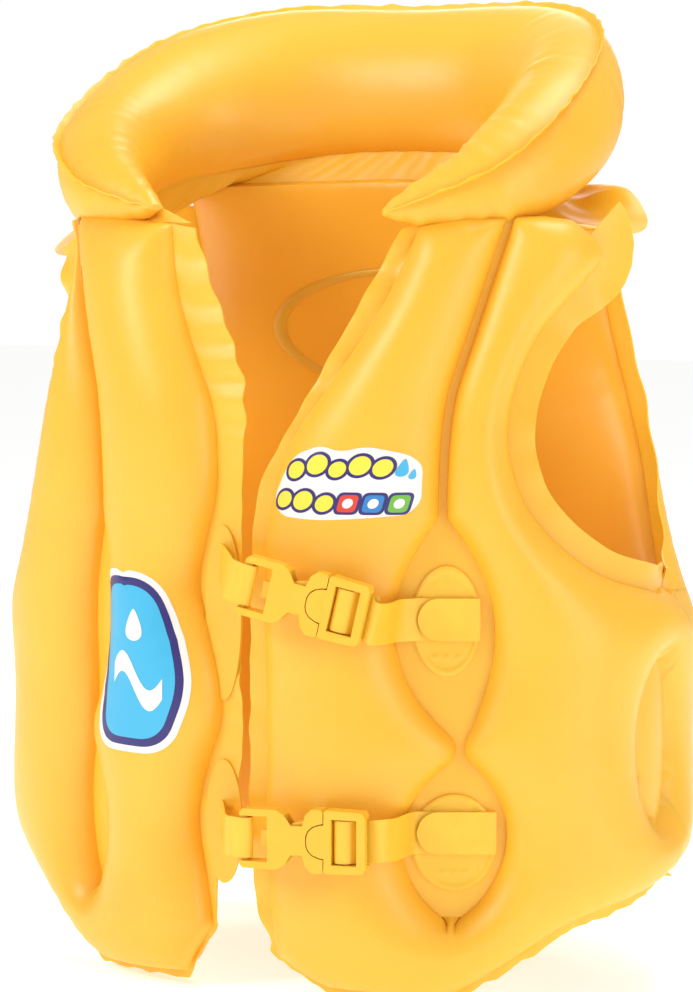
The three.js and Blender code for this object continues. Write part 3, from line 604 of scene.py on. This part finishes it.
def frontPanel(side):
    lines = frontLines(side)
    sign = 1 if side == "left" else -1
    sections = [("hem", "edge", 6, False), ("edge", "first", 15, True), ("first", "near", 15, True),
                ("near", "bay", 3, False), ("bay", "far", 3, False), ("far", "second", 15, True),
                ("second", "side", 20, True)]
    columns, puffed, weldAway = [], [], []
    for left, right, count, isOpen in sections:
        for k, column in enumerate(between(lines[left], lines[right], count)):
            columns.append(column)
            puffed.append(isOpen and (k > 0 or left in ("first", "second")))
            weldAway.append(1 - k / count if left == "hem" else 0)
    columns.append(lines["side"])
    puffed.append(True)
    weldAway.append(0)
    wave = ripple(31 + sign, 14, 30)
    grid = finRows(np.array(columns), ripple(41 + sign, 8, 22))
    angle, height = grid[..., 0] * sign, grid[..., 1]
    outer, inner = filmHeight(angle, height)
    filled = np.array(puffed)[:, None] * np.ones_like(height)
    # below the lower almond the two bays run together, and the last column meets the back chamber
    low = (np.abs(grid[..., 0] - np.interp(height, lines["bay"][:, 1], lines["bay"][:, 0]))
           < almondHalf(height, side) + 1e-6)
    filled = np.where(low & (height < almondFloor), 1, filled)
    filled[-1] = height[-1] < armholeFloor
    filled[:, :panelRows["finRows"] + 1] = 0
    filled[:, -1] = 0
    loose = np.array(weldAway)[:, None] * wave(height) * panelRows["hemWave"]
    loose = loose + finLift(height) * ripple(51 + sign, 9, 20)(toGirth(angle))
    points, faces = closedSheet(onTorso(angle, height, loose + film["half"] + outer * filled),
                                onTorso(angle, height, loose - film["half"] - inner * filled))
    piece = makePiece("frontPanel" + side.capitalize(), points, faces, filmMaterial, "film")
    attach(piece, side + "_side")
    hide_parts(f"front_{side}_chamber", f"front_{side}_hem")


for side in ("left", "right"):
    frontPanel(side)
print("front panels made")


def valveFrame(name):
    place = (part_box(f"{name}_base")[0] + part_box(f"{name}_base")[1]) / 2
    axis = Vector(joints[f"{name}_pull"]["axis"]).normalized()
    return np.array(place) * 1000 - shift, np.array(axis)


valveSeat = {"flange": 13.6, "reach": 15, "sink": 1.0, "near": 25}


def seatValve(grid, place, axis):
    # presses the film flat under a valve's flange, and blends it back round about
    rel = grid - place
    up = rel @ axis
    away = np.linalg.norm(rel - up[..., None] * axis, axis=-1)
    rim = valveSeat["flange"] + valveSeat["reach"]
    weight = (1 - smoothStep(valveSeat["flange"], rim, away)) * (np.abs(up) < valveSeat["near"])
    return grid + (weight * (-valveSeat["sink"] - up))[..., None] * axis


def backPanel():
    rows = rowFractions()
    side = girthLine(sideLine + armholeBack, rows)
    side[:, 0] = np.maximum(side[:, 0], sideAngle)
    spine = girthLine([[180, 44], [180, 400]], rows)
    half = between(side, spine, 34) + [spine]
    floor = smoothLine(np.array(backBottom, float))
    for column in half:
        want = np.interp(column[0, 0], floor[:, 0], floor[:, 1])
        column[:, 1] += (want - column[0, 1]) * (1 - rows) ** 6
    half = finRows(np.array(half), ripple(43, 8, 22))
    other = half[-2::-1].copy()
    other[..., 0] = 360 - other[..., 0]
    grid = np.concatenate([half, other])
    angle, height = grid[..., 0], grid[..., 1]
    outer, inner = filmHeight(np.where(angle > 180, angle - 360, angle), height)
    filled = np.ones_like(height)
    filled[:, :panelRows["finRows"] + 1] = 0
    filled[:, -1] = 0
    for edge in (0, -1):
        filled[edge] = height[edge] < armholeFloor
    loose = finLift(height) * ripple(53, 9, 20)(toGirth(np.minimum(angle, 360 - angle)))
    outerGrid = onTorso(angle, height, loose + film["half"] + outer * filled)
    for name in ("back_left_valve", "back_right_valve"):
        outerGrid = seatValve(outerGrid, *valveFrame(name))
    innerGrid = onTorso(angle, height, loose - film["half"] - inner * filled)
    points, faces = closedSheet(outerGrid, innerGrid)
    piece = makePiece("backPanel", points, faces, filmMaterial, "film")
    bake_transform(piece)
    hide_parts("back_left_chamber", "back_right_chamber")


def spineRing():
    # a narrow raised weld band that rings the lumbar oval on the inner film
    turn = np.linspace(0, 2 * math.pi, 73)
    columns = []
    for k, rise in enumerate((0.1, 0.75, 0.95, 0.75, 0.1)):
        size = 1 + (k - 2) * 0.022
        angle = 180 + spineOval["halfAngle"] * size * np.cos(turn)
        height = spineOval["height"] + spineOval["halfHeight"] * size * np.sin(turn)
        _, inner = filmHeight(np.where(angle > 180, angle - 360, angle), height)
        columns.append(onTorso(angle, height, -film["half"] - inner - rise))
    grid = np.stack(columns, axis=1)
    points, faces = thinSheet(grid, 0.5)
    piece = makePiece("spineRing", points, faces, filmMaterial, "film")
    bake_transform(piece)


backPanel()
spineRing()
print("back panel made")


# Collar
collar = {"fin": 3.2, "under": 0.7, "round": 0.56, "sections": 150, "around": 26, "tipSag": 0.45,
          "pucker": 0.17, "puckerReach": 11, "flutter": 1.1}
collarInner = [[60, -80, 384], [91, -44, 389], [100, -3, 400], [84, 32, 405], [46, 56, 412], [0, 62, 414],
               [-46, 56, 412], [-84, 32, 405], [-100, -3, 400], [-91, -44, 390], [-60, -78, 386]]
collarOuter = [[63, -87, 383], [113, -66, 405], [132, -22, 439], [119, 38, 470], [76, 80, 485], [0, 90, 486],
               [-80, 80, 486], [-132, 38, 467], [-149, -22, 427], [-117, -66, 401], [-65, -84, 386]]
collarPuff = [1.5, 22, 29, 30, 28, 27, 28, 30, 30, 22, 1.5]


def collarLines():
    t = (1 - np.cos(np.pi * evenly(collar["sections"]))) / 2 * 0.35 + evenly(collar["sections"]) * 0.65
    dense = [smoothLine(np.array(points, float)) for points in (collarInner, collarOuter)]
    knots = np.linspace(0, 1, len(dense[0]))
    inner, outer = [np.column_stack([np.interp(t, knots, line[:, k]) for k in range(3)]) for line in dense]
    puff = smoothLine(np.column_stack([np.linspace(0, 1, len(collarPuff)), collarPuff]))
    return t, inner, outer, np.interp(t, puff[:, 0], puff[:, 1])


def collarPillow():
    t, inner, outer, puff = collarLines()
    across = outer - inner
    along = np.gradient(inner + outer, axis=0)
    lift = np.cross(across, along)
    lift /= np.linalg.norm(lift, axis=1)[:, None]
    lift *= np.where(lift[:, 2:] < 0, -1, 1)
    run = np.concatenate([[0], np.cumsum(np.linalg.norm(np.diff(outer, axis=0), axis=1))])
    turn = np.linspace(0, math.pi, collar["around"])
    x = np.cos(turn)[None, :, None]
    width = np.linalg.norm(across, axis=1)
    edge = (1 - np.abs(np.cos(turn)))[None, :] * width[:, None] / 2      # mm from the nearer seam
    wave = puckerWave(run)[:, None] * (0.7 + 0.6 * puckerGroups(run))[:, None]
    tips = 1 + 1.1 * (np.exp(-((t - 0.06) / 0.07) ** 2) + np.exp(-((t - 0.94) / 0.07) ** 2))[:, None]
    crumple = 1 + collar["pucker"] * tips * wave * np.exp(-edge / collar["puckerReach"])
    profile = (1 - np.cos(turn) ** 2) ** collar["round"]
    middle = (inner + outer)[:, None] / 2 + across[:, None] * x / 2
    sag = 1 + collar["tipSag"] * (smoothStep(0.45, 0.12, t) + smoothStep(0.55, 0.88, t))[:, None]
    above = puff[:, None] * profile[None] * crumple
    below = -above * collar["under"] * sag
    top, under = [middle + lift[:, None] * height[..., None] for height in (above, below)]
    outward = across / np.maximum(width, 1e-6)[:, None]
    size = (collar["fin"] * smoothStep(0, 0.05, t) * smoothStep(0, 0.05, 1 - t)
            * (1 + 0.35 * ripple(77, 7, 18)(run)) + 0.6)
    flutter = collar["flutter"] * ripple(78, 8, 20)(run)
    fins = [outer + outward * size[:, None] * share + lift * (flutter[:, None] * share + half)
            for share, half in ((0.5, 0.45), (1, 0.35), (1, -0.35), (0.5, -0.45))]
    rings = np.concatenate([under[:, ::-1], np.stack(fins[::-1], axis=1), top], axis=1)
    place, axis = valveFrame("collar_valve")
    rings = seatValve(rings, place, axis)
    n = rings.shape[1]
    points = rings.reshape(-1, 3)
    faces = [(k * n + i, k * n + (i + 1) % n, (k + 1) * n + (i + 1) % n, (k + 1) * n + i)
             for k in range(len(rings) - 1) for i in range(n)]
    faces += [tuple(range(n))[::-1], tuple(range((len(rings) - 1) * n, len(rings) * n))]
    piece = makePiece("collarPillow", points, facingOut(points, faces), filmMaterial, "film")
    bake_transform(piece)
    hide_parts("collar_left", "collar_right")


collarPillow()
print("collar made")


# Loose film: the yoke and the armhole hems
def addSheet(name, grid, material, slot, thick=0.8):
    points, faces = thinSheet(grid, thick)
    piece = makePiece(name, points, faces, material, slot)
    return piece


yoke = {"steps": 150, "across": 20, "tuck": 3.5, "dip": 16, "crease": 2.0,
        "left": {"front": (27, 46, 58), "sag": 10}, "right": {"front": (16, 34, 46), "sag": 40}}


def shoulderFoot(side):
    sign = 1 if side == "left" else -1
    sag = yoke[side]["sag"]
    front = [onTorso(a, 378.5) for a in yoke[side]["front"]]
    shoulder = [onTorso(76, 377 - sag / 3, -2), onTorso(98, 384 - sag / 2, -6), onTorso(120, 395, -2)]
    back = [onTorso(a, 396) for a in (137, 152, 168)]
    points = np.array(front + shoulder + back)
    points[:, 0] *= sign
    return points


def yokeSheet():
    foot = np.vstack([shoulderFoot("left"), [onTorso(180.0, 396)], shoulderFoot("right")[::-1]])
    foot = alongLine(smoothLine(foot), evenly(yoke["steps"]))
    _, inner, outer, _ = collarLines()
    seam = alongLine(inner, evenly(yoke["steps"]) * 0.97 + 0.015)
    rim = alongLine(outer, evenly(yoke["steps"]) * 0.97 + 0.015)
    inward = seam - rim
    inward /= np.linalg.norm(inward, axis=1)[:, None]
    seam = seam - inward * yoke["tuck"]
    t = evenly(yoke["across"])[None, :, None]
    grid = foot[:, None] * (1 - t) + seam[:, None] * t
    place = evenly(yoke["steps"])
    drop = yoke["dip"] * (smoothStep(0.05, 0.16, place) * smoothStep(0.42, 0.3, place)
                          + smoothStep(0.95, 0.84, place) * smoothStep(0.58, 0.7, place))
    fold = t[..., 0] ** 2 * (1 - t[..., 0]) * 5
    grid[..., 2] -= drop[:, None] * fold
    run = np.concatenate([[0], np.cumsum(np.linalg.norm(np.diff(foot, axis=0), axis=1))])
    crease = ripple(91, 16, 40)(run)[:, None] * 4 * t[..., 0] * (1 - t[..., 0]) * yoke["crease"]
    grid = grid + gridNormals(grid) * crease[..., None]
    piece = addSheet("yokeFilm", grid, filmMaterial, "film")
    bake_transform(piece)
    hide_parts("yoke_left", "yoke_right")


hemStrip = {"width": 13, "atFront": 9, "atTop": 6, "steps": 150, "length": 520, "wave": 4.0, "stand": 1.5}


def armholeHem(side):
    sign = 1 if side == "left" else -1
    lines = frontLines(side)
    front = lines["side"][(lines["side"][:, 1] > 199) & (lines["side"][:, 1] < 374)][::-1]
    back = girthLine(armholeBack, evenly(60))
    back = back[back[:, 1] < 388]
    place = evenly(hemStrip["steps"])
    weld = alongLine(flat(np.vstack([front, [[sideAngle, 199.3]], back])), place)
    weld = np.column_stack([fromGirth(weld[:, 0]), weld[:, 1]])
    wide = (hemStrip["width"] + hemStrip["atFront"] * smoothStep(0.1, 0, place)
            + hemStrip["atTop"] * smoothStep(0.9, 1, place))
    calm = 1 - 0.75 * smoothStep(0.45, 0.6, place)
    wave = ripple(61 + sign, 24, 46)(place * hemStrip["length"])
    columns = []
    for k in range(9):
        share = k / 8
        line = sideways(weld, wide * share - 0.3)
        height = ((wave * hemStrip["wave"] * calm + hemStrip["stand"]) * share ** 1.4
                  * (0.4 + 0.6 * np.sin(math.pi * place) ** 0.5))
        columns.append(onTorso(line[:, 0], line[:, 1], height) * (sign, 1, 1))
    grid = np.stack(columns, axis=1)
    piece = addSheet(f"armholeHem{side.capitalize()}", grid, filmMaterial, "film")
    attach(piece, f"{side}_side")
    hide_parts(f"armhole_hem_{side}")


yokeSheet()
for side in ("left", "right"):
    armholeHem(side)
print("yoke and hems made")


# Straps, patches and tabs
strap = {"half": 10, "thick": 0.9, "steps": 120}
patches = {"upper": {"angle": 36.5, "height": 193, "halfWidth": 16, "halfHeight": 26, "level": 194},
           "lower": {"angle": 38, "height": 88, "halfWidth": 20, "halfHeight": 23, "level": 93}}
tabs = {"upper": {"height": 193, "halfHeight": 42}, "lower": {"height": 92, "halfHeight": 30}}
tabHalf = 9.4
leaf = {"angle": -6.2, "halfWidth": 10}
patchOut = 0.95


def buckleFrame(name):
    top, bottom = joints[f"{name}_squeeze_top"], joints[f"{name}_squeeze_bottom"]
    u = np.array(joints[f"{name}_buckle_release"]["axis"])
    w = np.array(top["axis"])
    v = np.cross(w, u)
    origin = (np.array(top["pos_m"]) + np.array(bottom["pos_m"])) / 2 * 1000 - shift + 0.3 * u
    return origin, u, v, w


def mmPerDegree(angle):
    return float(toGirth(angle + 0.5) - toGirth(angle - 0.5))


def ovalPatch(angle, height, halfWidth, halfHeight, rim=True, dots=()):
    # a vinyl oval with a welded rim that stands a little proud, and small weld dots
    u = np.sin(np.linspace(-math.pi / 2, math.pi / 2, 45)) * 0.998
    v = np.linspace(-1, 1, 45)
    gu, gv = np.meshgrid(u, v, indexing="ij")
    reach = np.sqrt(1 - gu ** 2)
    x, z = gu * halfWidth, gv * reach * halfHeight
    k = np.hypot(gu, gv * reach)
    swell = 0.55 * smoothStep(0.86, 0.91, k) * smoothStep(1.0, 0.95, k) if rim else 0 * k
    for du, dv in dots:
        away = np.hypot(x - du, z - dv)
        swell = swell + 0.7 * (1 - smoothStep(0.6, 1.5, away))
    a, h = angle + x / mmPerDegree(angle), height + z
    return closedSheet(onTorso(a, h, patchOut + 0.9 + swell), onTorso(a, h, 0.3))


def addPatch(name, shape, material, side, node):
    piece = makePiece(name, *shape, material, "strap")
    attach(piece, f"{side}_side")
    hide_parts(node)


def strapPath(name):
    origin, u, _, w = buckleFrame(name)
    patch = patches[name]
    first = 1.0 + 0.75 + 0.4            # the strap's lower run, over the patch
    second = first + 1.35               # the flap that turns back over it
    near, far = -patch["halfWidth"] + 2, patch["halfWidth"] - 1.5

    def onPatch(offset, out):
        return onTorso(patch["angle"] + offset / mmPerDegree(patch["angle"]), patch["level"], patchOut + out)
    buckle = [[24, -3.1], [9, -3.1], [6, -2.6], [4.9, -1.3], [4.9, 0.8], [6, 2.3], [8.5, 2.6], [11.5, 2.3],
              [13.3, 1], [14.4, -0.6], [16.5, -1.5], [20, -1.7]]
    return np.array([origin + a * u + b * w for a, b in buckle] + [
        onTorso(patch["angle"] - 11.2, patch["level"] + 1, 32.5),
        onTorso(patch["angle"] - 9.6, patch["level"], 22), onTorso(patch["angle"] - 8.3, patch["level"], 10),
        onPatch(near, first + 1.4), onPatch(near + 5, first), onPatch(0, first), onPatch(far - 1, first),
        onPatch(far + 0.4, (first + second) / 2), onPatch(far - 1, second),
        onPatch(0, second), onPatch(near + 1, second + 1.2)])


def makeStrap(name):
    _, _, v, _ = buckleFrame(name)
    knots = strapPath(name)
    path = alongLine(smoothLine(knots), evenly(strap["steps"]))
    length = np.linalg.norm(np.diff(path, axis=0), axis=1).sum()
    t = evenly(strap["steps"])
    lean = smoothStep(0.35, 0.6, t)[:, None]
    across = v * (1 - lean) + np.array([0, 0, 1]) * lean
    across /= np.linalg.norm(across, axis=1)[:, None]
    left = (1 - t) * length
    roundEnd = np.sqrt(np.maximum(0, 1 - (1 - left / strap["half"]) ** 2))
    half = np.where(left < strap["half"], np.maximum(0.12, roundEnd), 1) * strap["half"]
    share = np.linspace(-1, 1, 13)
    grid = path[:, None] + across[:, None] * (half[:, None] * share)[..., None]
    # a welded bar near the flap's end
    normals = gridNormals(grid)
    inset = np.exp(-((left - 13) / 1.2) ** 2)[:, None] * (np.abs(share) < 0.55) * 0.35
    grid = grid + normals * inset[..., None]
    piece = addSheet(f"{name}Strap", grid, strapMaterial, "strap", strap["thick"])
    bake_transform(piece)
    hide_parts(f"{name}_strap")


def makeTab(name):
    origin, u, v, w = buckleFrame(name)
    level = (origin - 60.5 * u)[2]
    bar = [[-50, -4.5], [-44.5, 0.8], [-41.5, 2.5], [-38.5, 2.8], [-36.2, 2], [-35.6, 0], [-36.2, -2],
           [-38.5, -2.8], [-43, -3.4]]
    path = np.array([onTorso(-8, level, patchOut + 0.6), onTorso(-6.5, level, patchOut + 1.2)]
                    + [origin + a * u + b * w for a, b in bar])
    path = alongLine(smoothLine(path), evenly(70))
    lean = np.minimum(1, 2 * evenly(70))[:, None]
    across = np.array([0, 0, 1]) * (1 - lean) + v * lean
    across /= np.linalg.norm(across, axis=1)[:, None]
    grid = path[:, None] + across[:, None] * (tabHalf * np.linspace(-1, 1, 9))[None, :, None]
    piece = addSheet(f"{name}Tab", grid, strapMaterial, "strap")
    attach(piece, "right_side")
    wide, high = leaf["halfWidth"], tabs[name]["halfHeight"]
    addPatch(f"{name}TabPatch", ovalPatch(leaf["angle"], tabs[name]["height"], wide, high, rim=False),
             filmMaterial, "right", f"{name}_tab_patch")


def makeStrapPatch(name):
    patch = patches[name]
    wide, high = patch["halfWidth"], patch["halfHeight"]
    dots = [(du, sign * (high - 9)) for sign in (1, -1) for du in (-5, 0, 5)]
    addPatch(f"{name}StrapPatch", ovalPatch(patch["angle"], patch["height"], wide, high, dots=dots),
             strapMaterial, "left", f"{name}_strap_patch")


for name in ("upper", "lower"):
    makeStrapPatch(name)
    makeStrap(name)
    makeTab(name)
print("straps, patches and tabs made")


# Prints on the film
def printLayer(name, outline, centre, lift, material, body, spacing=2.2, slant=0.0):
    # outline in mm about the centre, cut with a net of points inside, then laid on the outer film
    outline = np.asarray(outline, float)
    outline = outline + np.outer(outline[:, 1], (slant, 0))
    low, high = outline.min(axis=0), outline.max(axis=0)
    net = [(x, y) for x in np.arange(low[0], high[0], spacing) for y in np.arange(low[1], high[1], spacing)]
    ring = list(range(len(outline)))
    found, _, triangles, *_ = delaunay_2d_cdt([Vector(p) for p in [*outline, *net]], [], [ring], 1, 1e-4)
    flatPoints = np.array([tuple(p) for p in found])
    angle = fromGirth(toGirth(centre[0]) + flatPoints[:, 0])
    height = centre[1] + flatPoints[:, 1]
    far, near = onTorso(angle, height, 90), onTorso(angle, height, 0)
    points, missed = [], set()
    for k, (a, b) in enumerate(zip(far, near)):
        run = Vector((b - a) / np.linalg.norm(b - a))
        hit = printBase[body].ray_cast(Vector((a + shift) / 1000), run, 0.1)[0]
        if hit is None:
            missed.add(k)
            hit = Vector((b + shift) / 1000)
        points.append(np.array(hit) * 1000 - shift - np.array(run) * lift)
    points = np.array(points)
    faces = [tuple(t) for t in triangles if not missed.intersection(t)]
    a, b, c = points[list(faces[0])]
    if np.dot(np.cross(b - a, c - a), a * (1, 1, 0)) < 0:
        faces = [face[::-1] for face in faces]
    piece = makePiece(name, points, faces, material, "film")
    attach(piece, body)
    return piece


def roundedShape(points, radius=3.0, steps=6):
    p = np.array(points, float)
    out = []
    for k in range(len(p)):
        before, here, after = p[k - 1], p[k], p[(k + 1) % len(p)]
        r = min(radius, np.linalg.norm(before - here) * 0.45, np.linalg.norm(after - here) * 0.45)
        a = here + (before - here) / np.linalg.norm(before - here) * r
        b = here + (after - here) / np.linalg.norm(after - here) * r
        for t in np.linspace(0, 1, steps):
            out.append((1 - t) ** 2 * a + 2 * t * (1 - t) * here + t ** 2 * b)
    return np.array(out)


def ellipse(x, y, a, b, count=28):
    turn = np.linspace(0, 2 * math.pi, count, endpoint=False)
    return np.column_stack([x + a * np.cos(turn), y + b * np.sin(turn)])


printBase = {}
for side in ("left", "right"):
    panel = bpy.data.objects["frontPanel" + side.capitalize()].data
    printBase[side + "_side"] = BVHTree.FromPolygons([v.co for v in panel.vertices],
                                                     [tuple(f.vertices) for f in panel.polygons])
offWhiteInk = screenInk("screenInkOffWhite", "#F5EAE6")
navyInk = screenInk("screenInkNavy", "#2F2870")
skyInk = screenInk("screenInkSky", "#3FB1DC")
yellowInk = screenInk("screenInkYellow", "#F6DE45")
redInk = screenInk("screenInkRed", "#D8402F")
greenInk = screenInk("screenInkGreen", "#6DB33F")
blueInk = screenInk("screenInkBlue", "#2F7FC4")

badge = {"centre": (-20.8, 168), "body": "right_side", "halfWidth": 29, "halfHeight": 44}


def badgeOutline(inset):
    wide, high = badge["halfWidth"] - inset, badge["halfHeight"] - inset
    corners = [(-wide, high), (wide * 0.35, high), (wide * 0.82, high * 0.3), (wide, -high * 0.3),
               (wide * 0.6, -high), (-wide, -high)]
    return roundedShape(corners, 14 - 0.4 * inset, 9)


def makeBadge():
    place, body = badge["centre"], badge["body"]
    printLayer("badgeBorder", badgeOutline(0), place, 0.2, offWhiteInk, body)
    printLayer("badgeRing", badgeOutline(3.2), place, 0.34, navyInk, body)
    printLayer("badgeField", badgeOutline(7), place, 0.48, skyInk, body)
    # a plain wave with a drop above it
    t = np.linspace(0, 1, 26)
    crest = np.column_stack([-15 + 30 * t, -4 + 9 * np.sin(2 * math.pi * t * 0.9 + 0.3)])
    trough = np.column_stack([15 - 30 * t, -14 + 9 * np.sin(2 * math.pi * (1 - t) * 0.9 + 0.3)])
    printLayer("badgeWave", np.vstack([crest, trough]), place, 0.62, offWhiteInk, body)
    printLayer("badgeDrop", dropShape(-1, 18, 7), place, 0.62, offWhiteInk, body)


def dropShape(x, y, size):
    turn = np.linspace(0, 2 * math.pi, 30, endpoint=False)
    r = size * (1 - 0.38 * np.sin(turn))
    return np.column_stack([x + 0.62 * r * np.cos(turn) * (1 - 0.25 * np.sin(turn)),
                            y + size * 1.1 * np.sin(turn)])


sticker = {"centre": (19.5, 258), "body": "left_side", "slant": 0.28}


def makeSticker():
    def layer(name, outline, lift, ink):
        printLayer(name, outline, sticker["centre"], lift, ink, sticker["body"], slant=sticker["slant"])

    bubbles = [(-25, 6, 5.8), (-15, 9, 6.4), (-5, 7, 5.4), (4.5, 9, 6.2), (14.5, 8, 5.8), (-27, -8, 5.6),
               (-17, -8, 6.2), (-6.5, -9, 5.6)]
    halo = [(-32, 4), (-28, 13), (-16, 18), (-6, 15), (4, 18), (15, 16), (24, 14), (31, 9), (33, 0), (35, -8),
            (31, -14), (8, -16), (-8, -17), (-26, -16), (-34, -9)]
    layer("stickerHalo", roundedShape(halo, 6, 6), 0.2, offWhiteInk)
    for k, (x, y, r) in enumerate(bubbles):
        layer(f"stickerRing{k}", ellipse(x, y, r, r * 0.95), 0.34 + 0.01 * k, navyInk)
        layer(f"stickerBubble{k}", ellipse(x, y, r - 1.5, (r - 1.5) * 0.95), 0.5, yellowInk)
    for k, (x, ink) in enumerate(((4, redInk), (15, blueInk), (26, greenInk))):
        square = [(x - 5.5, -14), (x + 5.5, -14), (x + 5.5, -3.5), (x - 5.5, -3.5)]
        layer(f"stickerEdge{k}", roundedShape(square, 3), 0.34, navyInk)
        inner = [(x - 4.2, -12.8), (x + 4.2, -12.8), (x + 4.2, -4.7), (x - 4.2, -4.7)]
        layer(f"stickerSquare{k}", roundedShape(inner, 2.2), 0.5, ink)
        layer(f"stickerSpot{k}", ellipse(x, -8.7, 2.3, 2.3), 0.62, offWhiteInk)
    for k, (x, y, size) in enumerate(((23, 8, 3.8), (28, 5, 2.2))):
        layer(f"stickerDrop{k}", dropShape(x, y, size), 0.5, skyInk)


makeBadge()
makeSticker()
print("prints made")


# Moulded pieces, which come from the frame
for name, node in frame["nodes"].items():
    isMoulding = "buckle" in name or "clip" in name
    if not isMoulding and "valve" not in name:
        continue
    node.data.materials.clear()
    node.data.materials.append(acetal if isMoulding else valveMaterial)
    weld = node.modifiers.new("weld", "WELD")
    weld.merge_threshold = 1e-5
    bevel = node.modifiers.new("edges", "BEVEL")
    bevel.width = 0.0005 if isMoulding else 0.0002
    bevel.segments = 3
    bevel.limit_method = "ANGLE"
    bevel.angle_limit = math.radians(35)
    bevel.harden_normals = False
print("mouldings finished")
